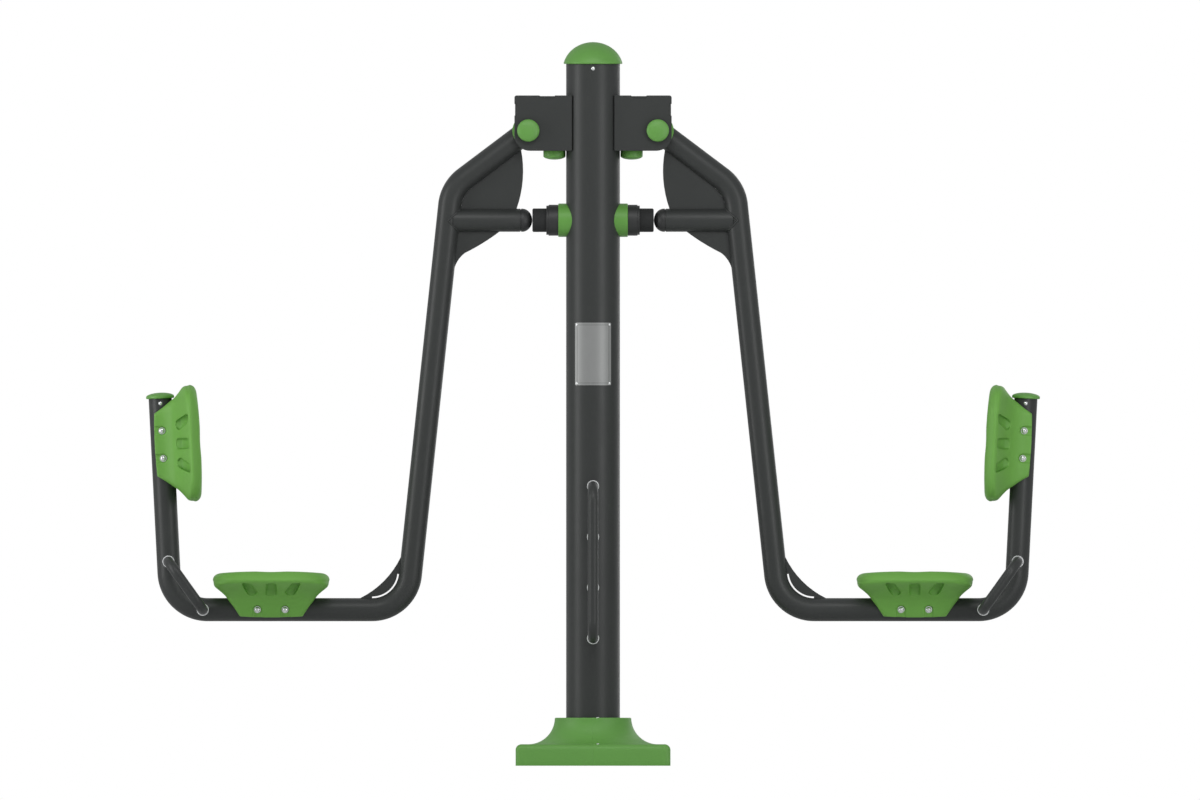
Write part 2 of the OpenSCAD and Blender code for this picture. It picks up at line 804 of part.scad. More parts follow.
// Buffers on the post
module end_stop_rubber() {
    r = stop_d / 2;
    color(RUBBER) translate([stop_x, 0, floor_top_z]) difference() {
        rotate_extrude()
            polygon([[0, 0], [r, 0], [r, stop_h - stop_edge_r], [r - stop_edge_r, stop_h], [0, stop_h]]);
        translate([0, 0, -cut_over]) cylinder(r = stud_r + slip_gap, h = stud_in + slip_gap + cut_over);
    }
}

module buffer_studs() {
    color(SILVER) {
        translate([stop_x, 0, bracket_bottom_z]) rotate([180, 0, 0]) {
            translate([0, 0, -floor_t - stud_in])
                cylinder(r = stud_r, h = floor_t + stud_in + stud_washer_t + stud_nut_t + stud_tail);
            difference() {
                union() {
                    cylinder(r = stud_washer_r, h = stud_washer_t);
                    translate([0, 0, stud_washer_t]) hex_nut(stud_nut_af, stud_nut_t);
                }
                translate([0, 0, -cut_over])
                    cylinder(r = stud_r + slip_gap, h = stud_washer_t + stud_nut_t + 2 * cut_over);
            }
        }
        difference() {
            translate([0, 0, buffer_z]) rotate([0, 90, 0])
                cylinder(r = buffer_stud_r, h = buffer_base_x + cup_floor + buffer_stud_in);
            post_core();
        }
    }
}

module buffer_base() {
    color(GREEN) difference() {
        translate([0, 0, buffer_z]) rotate([0, 90, 0]) difference() {
            cylinder(d = buffer_base_d, h = buffer_base_x);
            cylinder(r = buffer_stud_r + slip_gap, h = buffer_base_x + cut_over);
        }
        post_core();
    }
}

module buffer_cup() {
    bore = rubber_d / 2 + slip_gap;
    r = cup_d / 2;
    color(RUBBER) translate([buffer_base_x, 0, buffer_z]) rotate([0, 90, 0]) rotate_extrude()
        polygon([[buffer_stud_r + slip_gap, 0], [r, 0], [r, cup_len - cup_lip_len],
                 [r - cup_lip_step, cup_len - cup_lip_len], [r - cup_lip_step, cup_len],
                 [bore, cup_len], [bore, cup_floor], [buffer_stud_r + slip_gap, cup_floor]]);
}

module buffer_rubber() {
    r = rubber_d / 2;
    length = rubber_end_x - buffer_base_x - cup_floor;
    bore = buffer_stud_r + slip_gap;
    color(RUBBER) translate([buffer_base_x + cup_floor, 0, buffer_z]) rotate([0, 90, 0]) rotate_extrude()
        polygon([[bore, 0], [r, 0], [r, length - rubber_edge_r], [r - rubber_edge_r, length], [0, length],
                 [0, buffer_stud_in + slip_gap], [bore, buffer_stud_in + slip_gap]]);
}

// Arm tube of the right side
module arm_core() {
    rotate([90, 0, 0]) bent_bar(arm_path, tube_r, tube_bend_r);
}

module arm_tube() {
    color(STEEL) difference() {
        arm_core();
        rotate([90, 0, 0]) bent_bar(carried_on(arm_path, cut_over), tube_r - tube_wall, tube_bend_r);
        translate([pivot_x, 0, pivot_z]) cross_cylinder(housing_r, 2 * tube_d);
        at_seat() pad_bolt_holes(2 * tube_d);
        at_backrest() pad_bolt_holes(2 * tube_d);
        at_tube_end() translate([0, 0, -tube_cap_screw_at]) rotate([90, 0, 0])
            cylinder(r = cap_screw_r + slip_gap, h = tube_d);
    }
}

module pivot_housing() {
    bore = bearing_r + slip_gap;
    color(STEEL) translate([pivot_x, 0, pivot_z]) difference() {
        union() {
            cross_cylinder(housing_r, housing_len);
            rotate([0, swing_angle, 0]) upright(finger_w)
                polygon(rounded([[-finger_reach, finger_low, finger_corner_r],
                                 [-housing_r / 2, finger_low, 0], [-housing_r / 2, finger_low + finger_t, 0],
                                 [-finger_reach, finger_low + finger_t, finger_corner_r]]));
        }
        cross_cylinder(bore - housing_lip, housing_len + cut_over);
        for (s = [-1, 1]) translate([0, s * (housing_len - bearing_w + cut_over) / 2, 0])
            cross_cylinder(bore, bearing_w + cut_over);
    }
}

module housing_covers() {
    color(GREEN) translate([pivot_x, 0, pivot_z]) for (s = [0, 180]) rotate([90, 0, s])
        translate([0, 0, housing_len / 2]) difference() {
            cylinder(d = housing_cover_d, h = housing_cover_t);
            translate([0, 0, -cut_over])
                cylinder(r = axle_r + race_t + cover_hole_gap, h = housing_cover_t + 2 * cut_over);
        }
}

// Gussets: one at the upper bend, above and below the stub, and one in the lower bend
function upper_gusset_at(i) =
    [pivot_x + upper_gusset_shares[i][0] * (knee_x - pivot_x),
     pivot_z - upper_gusset_shares[i][1] * (pivot_z - buffer_z)];

function upper_gusset_outline() =
    let (a = upper_gusset_at(0), b = upper_gusset_at(1), c = upper_gusset_at(2),
         d = upper_gusset_at(3), e = upper_gusset_at(4))
    concat(bow(a, b, upper_bow_share), [[b[0], buffer_z], [c[0], buffer_z]],
           bow(c, d, lower_bow_share), bow(d, e, fillet_bow_share),
           [along(arm_path[1], arm_path[2], norm(e - arm_path[1])), arm_path[1],
            along(arm_path[0], arm_path[1], tube_r)]);

function lower_gusset_outline() =
    let (reach = tangent_len(arm_path, 2, tube_bend_r), up = arm_path[1], corner = arm_path[2],
         out = arm_path[3],
         a = along(corner, out, reach + heel_plate_low) + [0, tube_r],
         b = along(corner, up, reach + heel_plate_high)
             + tube_r * [-sin(heading(up, corner)), cos(heading(up, corner))])
    concat(bow(a, b, heel_bow_share), [along(corner, up, reach + heel_plate_high), corner,
           along(corner, out, reach + heel_plate_low)]);

// Middle of the lower bend's curve
function heel_centre() =
    let (h = heading(arm_path[1], arm_path[2]))
    along(arm_path[2], arm_path[1], tangent_len(arm_path, 2, tube_bend_r))
    + tube_bend_r * [-sin(h), cos(h)];

module heel_slit() {
    m = heel_centre();
    h = heading(arm_path[1], arm_path[2]);
    reach = 2 * tube_bend_r;
    difference() {
        polygon([m, m + reach * [sin(h), -cos(h)], m + reach * [-1, -1], m + reach * [0, -1]]);
        translate(m) circle(r = tube_bend_r - tube_r - gusset_slit);
    }
}

module gussets() {
    color(STEEL) difference() {
        upright(gusset_t) {
            polygon(upper_gusset_outline());
            difference() {
                polygon(lower_gusset_outline());
                heel_slit();
            }
        }
        arm_core();
        translate([0, 0, buffer_z]) rotate([0, 90, 0]) cylinder(r = tube_r, h = knee_x);
    }
}

// Stub that rests on the buffer
module stub_tube() {
    color(STEEL) difference() {
        translate([stub_end_x, 0, buffer_z]) rotate([0, 90, 0]) difference() {
            cylinder(r = tube_r, h = knee_x - stub_end_x);
            translate([0, 0, -cut_over])
                cylinder(r = tube_r - tube_wall, h = knee_x - stub_end_x + 2 * cut_over);
        }
        arm_core();
    }
}

module stub_plug() {
    skirt = tube_r - tube_wall - slip_gap;
    color(RUBBER) translate([stub_end_x, 0, buffer_z]) rotate([0, -90, 0]) rotate_extrude()
        polygon(concat([[0, -plug_skirt], [skirt, -plug_skirt], [skirt, 0], [tube_r - plug_groove, 0],
                        [tube_r, plug_groove]], dome(tube_r, plug_dome, plug_side, 0, 90)));
}

// Seat and backrest: one moulded saddle, drawn with the tube's axis along X
function pad_rings() =
    concat([for (f = flare_shares)
        squircle(skirt_l / 2 + f[1] * (pad_l - skirt_l) / 2, skirt_w / 2 + f[2] * (pad_w - skirt_w) / 2,
                 skirt_power + (pan_power - skirt_power) * f[0],
                 f[0] * (pad_belly + skirt_drop) - skirt_drop - (f[0] == 0 ? skirt_bow : 0),
                 f[0] == 0 ? skirt_bow : 0)],
    [for (t = rim_turns)
        let (draw = rim_r * (1 - cos(t)))
        squircle(pad_l / 2 - draw, pad_w / 2 - draw, pan_power,
                 pad_belly + (pad_rise - pad_belly) * sin(t), -rim_crown * sin(t))],
    [for (s = dish_shares)
        squircle(s * (pad_l / 2 - rim_r), s * (pad_w / 2 - rim_r), pan_power,
                 pad_rise - dish_depth * (1 - s * s), -rim_crown * s * s)]);

module pocket(shares) {
    floor_y = skirt_w / 2 + pocket_floor_share * (pad_w - skirt_w) / 4;
    depth = pad_w / 2 - floor_y + cut_over;
    translate([0, -floor_y - depth / 2, 0]) upright(depth)
        polygon(rounded([for (p = shares) [p[0] * pad_l / 2, p[1] * pad_rise, pocket_corner_r]]));
}

module pad_bolt_holes(length) {
    for (s = [-1, 1]) translate([s * pad_bolt_pitch / 2, 0, 0])
        cross_cylinder(pad_bolt_r + slip_gap, length);
}

module saddle() {
    color(GREEN) difference() {
        loft(pad_rings());
        translate([-pad_l, 0, 0]) rotate([0, 90, 0]) cylinder(r = tube_r + fit_gap, h = 2 * pad_l);
        translate([-pad_l, -tube_r - fit_gap, -2 * tube_r])
            cube([2 * pad_l, tube_d + 2 * fit_gap, 2 * tube_r]);
        pad_bolt_holes(2 * skirt_w);
        for (a = [0, 180]) rotate([0, 0, a]) {
            pocket(mid_pocket_shares);
            for (m = [0, 1]) mirror([m, 0, 0]) pocket(side_pocket_shares);
            for (s = [-1, 1]) translate([s * pad_bolt_pitch / 2, -bolt_seat_y, 0]) rotate([90, 0, 0]) {
                cylinder(r = bolt_recess_r, h = skirt_w);
                translate([-bolt_recess_r, -2 * tube_r, 0]) cube([2 * bolt_recess_r, 2 * tube_r, skirt_w]);
            }
        }
    }
}

module at_seat() {
    translate([seat_x, 0, seat_tube_z]) children();
}

module at_backrest() {
    translate([back_x, 0, seat_tube_z]) rotate([0, back_lean - 90, 0])
        translate([back_seat_len, 0, 0]) children();
}

module at_tube_end() {
    translate([back_end[0], 0, back_end[1]]) rotate([0, back_lean, 0]) children();
}

module seat() {
    at_seat() saddle();
}

module backrest() {
    at_backrest() saddle();
}

// Sleeve bolts with a socket in both heads
module seat_bolt() {
    difference() {
        union() {
            cross_cylinder(pad_bolt_r, 2 * bolt_seat_y);
            for (a = [90, -90]) rotate([a, 0, 0]) translate([0, 0, bolt_seat_y]) {
                cylinder(r = bolt_washer_r, h = bolt_washer_t);
                translate([0, 0, bolt_washer_t])
                    domed_screw(bolt_head_r, bolt_head_h, pad_bolt_r, bolt_washer_t);
            }
        }
        for (a = [90, -90]) rotate([a, 0, 0])
            translate([0, 0, bolt_seat_y + bolt_washer_t + bolt_head_h - socket_depth])
                hex_nut(socket_af, socket_depth + cut_over);
    }
}

module seat_bolts() {
    color(SILVER) for (s = [-1, 1]) {
        at_seat() translate([s * pad_bolt_pitch / 2, 0, 0]) seat_bolt();
        at_backrest() translate([s * pad_bolt_pitch / 2, 0, 0]) seat_bolt();
    }
}

// Cap on the arm tube
module tube_cap() {
    skirt = tube_r - tube_wall - slip_gap;
    rim = tube_r + tube_cap_over;
    inner = skirt - cap_wall;
    color(GREEN) at_tube_end() difference() {
        rotate_extrude()
            polygon(concat([[inner, -tube_cap_skirt], [skirt, -tube_cap_skirt], [skirt, 0], [rim - cap_wall, 0],
                            [rim, cap_wall / 2]], dome(rim, tube_cap_h - tube_cap_rim, tube_cap_rim, 0, 90),
                           [[0, tube_cap_h - cap_wall], [inner, tube_cap_rim]]));
        translate([0, 0, -tube_cap_screw_at]) rotate([90, 0, 0])
            cylinder(r = cap_screw_r + slip_gap, h = tube_d);
    }
}

module tube_cap_screw() {
    color(SILVER) at_tube_end() translate([0, 0, -tube_cap_screw_at]) rotate([90, 0, 0])
        translate([0, 0, tube_r])
            domed_screw(cap_screw_head_r, cap_screw_head_h, cap_screw_r, tube_wall + 2 * cap_wall);
}

// Grips: each runs from the seat tube out, up beside the bend and back to the back tube
module at_grip(side) {
    translate([grip_low[0], 0, grip_low[1]]) rotate([0, -heading(grip_low, grip_high), 0])
        rotate([side > 0 ? 0 : 180, 0, 0]) children();
}

module grip_bar(r) {
    length = norm(grip_high - grip_low);
    bent_bar([[0, 0], [0, grip_reach], [length, grip_reach], [length, 0]], r, bar_bend_r);
}

module grips() {
    color(STEEL) difference() {
        for (s = [-1, 1]) at_grip(s) grip_bar(bar_r);
        for (s = [-1, 1]) at_grip(s) grip_bar(bar_r - bar_wall);
        arm_core();
    }
}

module grip_collars() {
    color(SILVER) difference() {
        for (s = [-1, 1], x = [0, norm(grip_high - grip_low)])
            at_grip(s) translate([x, 0, 0]) rotate([-90, 0, 0]) difference() {
                cylinder(r = bar_r + collar_w, h = tube_r + collar_t);
                cylinder(r = bar_r, h = tube_r + collar_t + cut_over);
            }
        arm_core();
    }
}

module mirrored() {
    mirror([1, 0, 0]) children();
}

post_tube();
base_flange();
base_cover_left();
base_cover_right();
post_cap();
cover_screws();
info_plate();
plate_rivets();
foot_bars();
foot_bar_collars();
mirrored() bracket_cheeks();  // left_bracket_cheeks
mirrored() bracket_hood();  // left_bracket_hood
mirrored() bracket_floor();  // left_bracket_floor
mirrored() axle();  // left_axle
mirrored() bolt_caps();  // left_bolt_caps
mirrored() bearing_inner_rings();  // left_bearing_inner_rings
mirrored() end_stop_rubber();  // left_end_stop_rubber
mirrored() buffer_studs();  // left_buffer_studs
mirrored() buffer_base();  // left_buffer_base
mirrored() buffer_cup();  // left_buffer_cup
mirrored() buffer_rubber();  // left_buffer_rubber
mirrored() arm_tube();  // left_arm_tube
mirrored() pivot_housing();  // left_pivot_housing
mirrored() bearing_outer_rings();  // left_bearing_outer_rings
mirrored() housing_covers();  // left_housing_covers
mirrored() gussets();  // left_gussets
mirrored() stub_tube();  // left_stub_tube
mirrored() stub_plug();  // left_stub_plug
mirrored() seat();  // left_seat
mirrored() backrest();  // left_backrest
mirrored() seat_bolts();  // left_seat_bolts
mirrored() tube_cap();  // left_tube_cap
mirrored() tube_cap_screw();  // left_tube_cap_screw
mirrored() grips();  // left_grips
mirrored() grip_collars();  // left_grip_collars
bracket_cheeks();  // right_bracket_cheeks
bracket_hood();  // right_bracket_hood
bracket_floor();  // right_bracket_floor
axle();  // right_axle
bolt_caps();  // right_bolt_caps
bearing_inner_rings();  // right_bearing_inner_rings
end_stop_rubber();  // right_end_stop_rubber
buffer_studs();  // right_buffer_studs
buffer_base();  // right_buffer_base
buffer_cup();  // right_buffer_cup
buffer_rubber();  // right_buffer_rubber
arm_tube();  // right_arm_tube
pivot_housing();  // right_pivot_housing
bearing_outer_rings();  // right_bearing_outer_rings
housing_covers();  // right_housing_covers
gussets();  // right_gussets
stub_tube();  // right_stub_tube
stub_plug();  // right_stub_plug
seat();  // right_seat
backrest();  // right_backrest
seat_bolts();  // right_seat_bolts
tube_cap();  // right_tube_cap
tube_cap_screw();  // right_tube_cap_screw
grips();  // right_grips
grip_collars();  // right_grip_collars
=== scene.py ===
"""Outdoor fitness station: its finishes and fine forms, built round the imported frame."""
import json
import math

import bmesh
import bpy
from bpy.props import FloatProperty, FloatVectorProperty, IntProperty, PointerProperty
from mathutils import Matrix, Vector

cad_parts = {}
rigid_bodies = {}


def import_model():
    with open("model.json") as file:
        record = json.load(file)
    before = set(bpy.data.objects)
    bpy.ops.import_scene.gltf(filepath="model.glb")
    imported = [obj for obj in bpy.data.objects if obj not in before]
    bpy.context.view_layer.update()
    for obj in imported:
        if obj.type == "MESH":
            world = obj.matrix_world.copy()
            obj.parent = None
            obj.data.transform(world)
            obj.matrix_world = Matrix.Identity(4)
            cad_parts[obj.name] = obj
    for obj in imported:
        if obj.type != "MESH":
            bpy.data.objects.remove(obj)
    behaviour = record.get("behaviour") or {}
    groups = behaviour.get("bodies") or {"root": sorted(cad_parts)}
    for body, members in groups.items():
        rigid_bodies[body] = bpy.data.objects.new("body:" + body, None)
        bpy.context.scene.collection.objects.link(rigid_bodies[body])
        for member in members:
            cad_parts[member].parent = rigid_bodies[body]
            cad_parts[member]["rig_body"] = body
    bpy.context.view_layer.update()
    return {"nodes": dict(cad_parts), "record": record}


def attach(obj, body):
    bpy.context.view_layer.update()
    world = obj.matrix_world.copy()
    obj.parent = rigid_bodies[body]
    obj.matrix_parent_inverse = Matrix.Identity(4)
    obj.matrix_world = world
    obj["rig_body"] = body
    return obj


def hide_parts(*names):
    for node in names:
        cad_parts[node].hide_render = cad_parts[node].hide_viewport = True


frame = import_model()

bl_info = {
    "name": "Outdoor fitness station",
    "version": (1, 0, 0),
    "blender": (4, 5, 0),
    "location": "View3D > Sidebar > Station",
    "description": "Builds a double seated leg press for a park, piece by piece",
    "category": "Object",
}

MM = 0.001
SIDES = {"right": 1, "left": -1}

# Sizes in millimetres, as the frame has them
POST_R, POST_TOP, POST_WALL = 70, 1826, 4
TUBE_R, TUBE_WALL = 30.15, 3
PIVOT = (168.5, 1653)
KNEE, HEEL, REAR = (368.4, 1502.5), (484.8, 406.2), (1098.5, 406.2)
BACK_LEN, BACK_LEAN = 550, 2.9
BUFFER_Z, REST_GAP = 1419.5, 0.3
# Lengths outward from the post along a buffer, and those of the plug that meets it
BUFFER_BASE_LEN, CUP_LEN, PAD_PROUD, PLUG_DOME, PLUG_NECK = 20.4, 31.2, 36.3, 26.3, 4.5
HOUSING_R, HOUSING_HALF, BRACKET_Y = 38, 37, 50
STOP_X, BRACKET_BOTTOM_Z = 100.4, 1600
FOOT_Z, FOOT_PITCH, FOOT_ROWS, FOOT_REACH = 332, 131.7, 4, 255
GRIP_REACH, GRIP_LOW, GRIP_HIGH = 215, 83, 125
SEAT_X, BACK_SEAT_LEN, BOLT_PITCH = 837.4, 429.8, 72
COVER_HALF, COVER_H, COVER_CORNER, COVER_EDGE = 201.5, 56, 12, 15
COVER_SWEEP, COVER_NECK, COVER_WALL = 69, 99.5, 3
CAP_SCREW_DROP, TUBE_SCREW_DROP = 11.7, 12.7
PLATE_Z, PLATE_W, PLATE_H, PLATE_T = 990, 100, 163, 1.5


def linear(code):
    """Linear colour of an sRGB hex value."""
    parts = [int(code[i:i + 2], 16) / 255 for i in (1, 3, 5)]
    return tuple(c / 12.92 if c <= 0.04045 else ((c + 0.055) / 1.055) ** 2.4 for c in parts)


def length_field(name, description, default, low, high):
    """A length in the panel, in metres."""
    return FloatProperty(name=name, description=description, default=default, min=low, max=high,
                         unit="LENGTH")


def count_field(name, description, default, low, high):
    """A number of faces in the panel."""
    return IntProperty(name=name, description=description, default=default, min=low, max=high)


def colour_field(name, description, code):
    """A colour in the panel, from its sRGB hex value."""
    return FloatVectorProperty(name=name, description=description, subtype="COLOR", size=3,
                               min=0, max=1, default=linear(code))


class StationSizes(bpy.types.PropertyGroup):
    """Sizes that can change without the frame."""
    bend_r: length_field("Tube bend", "Bend radius of the arm tube's middle line", 0.1, 0.09, 0.11)
    bar_bend_r: length_field("Bar bend", "Bend radius of the foot bars and grips", 0.045, 0.035,
                             0.06)
    bar_r: length_field("Bar radius", "Radius of the foot bars and grips", 0.01345, 0.012, 0.015)
    around: count_field("Round steps", "Faces round a tube", 64, 24, 128)
    bend_steps: count_field("Bend steps", "Faces along one bend", 24, 8, 64)
    plate_edge: length_field("Plate edge", "Rounding of the cut plates' edges", 0.0012, 0.0004,
                             0.003)
    weld_r: length_field("Weld bead", "Radius of a weld bead", 0.0026, 0.0015, 0.004)
    voxel: length_field("Saddle grain", "Cell size of the moulded saddle's mesh", 0.0021, 0.0018,
                        0.006)


class StationColours(bpy.types.PropertyGroup):
    """Colours of the finishes."""
    green: colour_field("Green", "Green of the mouldings and coated rings", "#68A34A")
    seat_green: colour_field("Seat green", "Green of the moulded saddles", "#70AD48")
    anthracite: colour_field("Anthracite", "Powder coat of the steel", "#363837")
    rubber: colour_field("Rubber", "Buffers", "#262727")
    black: colour_field("Black plastic", "Buffer cups and stub plugs", "#2B2C2C")
    steel: colour_field("Stainless steel", "Screws, rings and axles", "#E4E6E6")
    plate: colour_field("Plate", "Information plate", "#949594")


# Node trees and materials

def add(tree, kind, values=None, links=None, **attributes):
    """One node with its attributes, its input values and its links."""
    node = tree.nodes.new(kind)
    for key, value in attributes.items():
        setattr(node, key, value)
    for key, value in (values or {}).items():
        node.inputs[key].default_value = value
    for key, socket in (links or {}).items():
        tree.links.new(socket, node.inputs[key])
    return node


def maths(tree, operation, *terms):
    """Outcome of one math node, whose terms are numbers or sockets."""
    values = {i: term for i, term in enumerate(terms) if isinstance(term, (int, float))}
    links = {i: term for i, term in enumerate(terms) if i not in values}
    return add(tree, "ShaderNodeMath", values, links, operation=operation).outputs[0]


def shader_tree(name, **values):
    """A material with an empty Principled shader, ready for its colour and bump."""
    material = bpy.data.materials.new(name)
    material.use_nodes = True
    tree = material.node_tree
    tree.nodes.clear()
    shader = add(tree, "ShaderNodeBsdfPrincipled", values)
    add(tree, "ShaderNodeOutputMaterial", links={"Surface": shader.outputs["BSDF"]})
    place = add(tree, "ShaderNodeTexCoord").outputs["Object"]
    return material, tree, shader, place


def tinted(tree, place, colour, scale, spread):
    """A colour that drifts a little lighter and darker over the surface."""
    noise = add(tree, "ShaderNodeTexNoise", {"Scale": scale, "Detail": 4.0, "Roughness": 0.55},
                {"Vector": place})
    dark = tuple(c * (1 - spread) for c in colour) + (1,)
    light = tuple(min(1, c * (1 + spread)) for c in colour) + (1,)
    # The float, vector and colour inputs share their names: the colours are sockets 6 and 7
    mix = add(tree, "ShaderNodeMix", {6: dark, 7: light}, {0: noise.outputs["Fac"]},
              data_type="RGBA")
    return mix.outputs[2]


def bumped(tree, height, strength, distance):
    """Normal of a surface whose height varies."""
    return add(tree, "ShaderNodeBump", {"Strength": strength, "Distance": distance},
               {"Height": height}).outputs["Normal"]


def ranged(tree, value, low, high):
    """A value from 0 to 1 moved into a range."""
    return add(tree, "ShaderNodeMapRange", {"To Min": low, "To Max": high},
               {"Value": value}).outputs["Result"]


def powder_coat(name, colour, roughness=0.41):
    # Polyester powder coat, sprayed and baked: satin, with a faint orange peel of 2.5 mm waves
    # and a film whose tone drifts over a hand's width.
    material, tree, shader, place = shader_tree(name, IOR=1.5)
    shader.inputs["Specular IOR Level"].default_value = 0.36
    peel = add(tree, "ShaderNodeTexNoise", {"Scale": 400.0, "Detail": 2.0}, {"Vector": place})
    drift = add(tree, "ShaderNodeTexNoise", {"Scale": 14.0, "Detail": 3.0}, {"Vector": place})
    tree.links.new(tinted(tree, place, colour, 9.0, 0.05), shader.inputs["Base Color"])
    tree.links.new(ranged(tree, drift.outputs["Fac"], roughness - 0.05, roughness + 0.06),
                   shader.inputs["Roughness"])
    tree.links.new(bumped(tree, peel.outputs["Fac"], 0.2, 0.0001), shader.inputs["Normal"])
    return material


def moulded_plastic(name, colour, roughness, grain_mm=1.2, bump=0.3):
    # Injection-moulded plastic from a spark-eroded mould: matt, with a fine even grain. The real
    # grain is about 0.3 mm; it is drawn at 1.2 mm so that it shows.
    material, tree, shader, place = shader_tree(name, IOR=1.49)
    grain = add(tree, "ShaderNodeTexVoronoi", {"Scale": 1 / (grain_mm * MM)}, {"Vector": place},
                feature="SMOOTH_F1")
    tree.links.new(tinted(tree, place, colour, 12.0, 0.035), shader.inputs["Base Color"])
    tree.links.new(ranged(tree, grain.outputs["Distance"], roughness - 0.04, roughness + 0.08),
                   shader.inputs["Roughness"])
    tree.links.new(bumped(tree, grain.outputs["Distance"], bump, 0.0002), shader.inputs["Normal"])
    return material


def moulded_rubber(name, colour):
    # Compression-moulded rubber: near black, dull, with a bloom that greys it in patches of 8 mm
    material, tree, shader, place = shader_tree(name, IOR=1.52)
    shader.inputs["Specular IOR Level"].default_value = 0.35
    bloom = add(tree, "ShaderNodeTexNoise", {"Scale": 125.0, "Detail": 5.0}, {"Vector": place})
    tree.links.new(tinted(tree, place, colour, 60.0, 0.12), shader.inputs["Base Color"])
    tree.links.new(ranged(tree, bloom.outputs["Fac"], 0.68, 0.86), shader.inputs["Roughness"])
    tree.links.new(bumped(tree, bloom.outputs["Fac"], 0.2, 0.0004), shader.inputs["Normal"])
    return material


def turned_steel(name, colour, metallic=0.85, lift=1):
    # Stainless steel, cold-headed or turned: bright, with rings of fine marks, drawn 1 mm apart
    material, tree, shader, place = shader_tree(name, Metallic=metallic)
    # A lift above 1 lightens the colour: a painted sheen, which the rivets and collar rings take
    colour = tuple(min(1, c * lift) for c in colour)
    marks = add(tree, "ShaderNodeTexNoise", {"Scale": 1000.0, "Detail": 3.0}, {"Vector": place})
    tree.links.new(tinted(tree, place, colour, 80.0, 0.06), shader.inputs["Base Color"])
    tree.links.new(ranged(tree, marks.outputs["Fac"], 0.18, 0.32), shader.inputs["Roughness"])
    tree.links.new(bumped(tree, marks.outputs["Fac"], 0.12, 0.0001), shader.inputs["Normal"])
    return material


def brushed_aluminium(name, colour):
    # Anodised sheet brushed along its length: lines 60 mm long and 0.4 mm apart, drawn 1 mm apart
    material, tree, shader, place = shader_tree(name, Metallic=0.4)
    lines = add(tree, "ShaderNodeMapping", {"Scale": (16.0, 16.0, 1000.0)}, {"Vector": place})
    brush = add(tree, "ShaderNodeTexNoise", {"Scale": 1.0, "Detail": 3.0},
                {"Vector": lines.outputs["Vector"]})
    # A printed line 0.8 mm wide frames the plate, 6 mm inside its edge
    axes = add(tree, "ShaderNodeSeparateXYZ", links={"Vector": place}).outputs
    half_w, half_h, half_line, inside = PLATE_W / 2, PLATE_H / 2, 0.4 * MM, 6
    across = maths(tree, "SUBTRACT", maths(tree, "ABSOLUTE", axes["X"]),
                   POST_R * math.sin((half_w - inside) / POST_R) * MM)
    level = maths(tree, "SUBTRACT", axes["Z"], (PLATE_Z + half_h) * MM)
    along = maths(tree, "SUBTRACT", maths(tree, "ABSOLUTE", level), (half_h - inside) * MM)
    line = maths(tree, "COMPARE", maths(tree, "MAXIMUM", across, along), 0.0, half_line)
    face = add(tree, "ShaderNodeMix", {7: tuple(c * 0.35 for c in colour) + (1,)},
               {0: line, 6: tinted(tree, place, colour, 30.0, 0.04)}, data_type="RGBA")
    tree.links.new(face.outputs[2], shader.inputs["Base Color"])
    tree.links.new(ranged(tree, brush.outputs["Fac"], 0.38, 0.54), shader.inputs["Roughness"])
    tree.links.new(bumped(tree, brush.outputs["Fac"], 0.2, 0.0001), shader.inputs["Normal"])
    return material


# Each finish has its material's name, how it is made, its colour and what else sets it
FINISHES = {
    "powder_coat": ("anthracite polyester powder coat", powder_coat, "anthracite"),
    "green_coat": ("green polyester powder coat", powder_coat, "green"),
    "green_cover": ("green moulded polyethylene", moulded_plastic, "green", 0.5),
    "green_cap": ("green moulded polyamide", moulded_plastic, "green", 0.44, 0.9, 0.2),
    "green_seat": ("green moulded polypropylene", moulded_plastic, "seat_green", 0.54, 1.6, 0.4),
    "black_plastic": ("black moulded polyamide", moulded_plastic, "black", 0.46, 1.0, 0.25),
    "rubber": ("black moulded rubber", moulded_rubber, "rubber"),
    "plate_metal": ("brushed anodised aluminium", brushed_aluminium, "plate"),
    "bright_steel": ("turned stainless steel", turned_steel, "steel"),
    # The same stainless steel with its colour lifted and less metal, its roughness unchanged: a
    # painted sheen on the rivets and collar rings
    "sheen_painted_steel": ("polished stainless steel", turned_steel, "steel", 0.35, 1.22),
}


def finish(slot):
    """The material of one of the record's slots, or the steel lightened with a painted sheen, made
    once.
    """
    name, make, colour, *settings = FINISHES[slot]
    colours = bpy.context.scene.station_colours
    return bpy.data.materials.get(name) or make(name, tuple(getattr(colours, colour)), *settings)


# Shapes

class Shape:
    """Points and faces in millimetres, gathered before they become one piece."""

    def __init__(self):
        self.points, self.faces = [], []

    def take(self, points, faces, place=Matrix.Identity(4), flip=False):
        """Add points and faces at a place; flip turns the faces round."""
        first = len(self.points)
        self.points += [place @ Vector(p) for p in points]
        self.faces += [tuple(first + i for i in (reversed(f) if flip else f)) for f in faces]
        return self

    def mesh(self, name, merge=0.0, smooth=40):
        """The mesh in metres; merge welds points nearer than it, in metres."""
        data = bpy.data.meshes.new(name)
        data.from_pydata([p * MM for p in self.points], [], self.faces)
        if merge:
            shell = bmesh.new()
            shell.from_mesh(data)
            bmesh.ops.remove_doubles(shell, verts=shell.verts, dist=merge)
            bmesh.ops.recalc_face_normals(shell, faces=shell.faces)
            shell.to_mesh(data)
            shell.free()
        smooth_by_angle(data, smooth)
        return data


def smooth_by_angle(data, degrees):
    """Smooth shading, but for edges sharper than an angle."""
    data.polygons.foreach_set("use_smooth", [True] * len(data.polygons))
    data.set_sharp_from_angle(angle=math.radians(degrees))


def piece(name, data, slot, body, *replaced, shine=None):
    """A finished piece: its object sits at the origin and rides on its body."""
    thing = bpy.data.objects.new(name, data)
    bpy.context.scene.collection.objects.link(thing)
    data.materials.clear()
    data.materials.append(finish(shine or slot))
    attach(thing, body)
    if replaced:
        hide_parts(*replaced)
    return thing


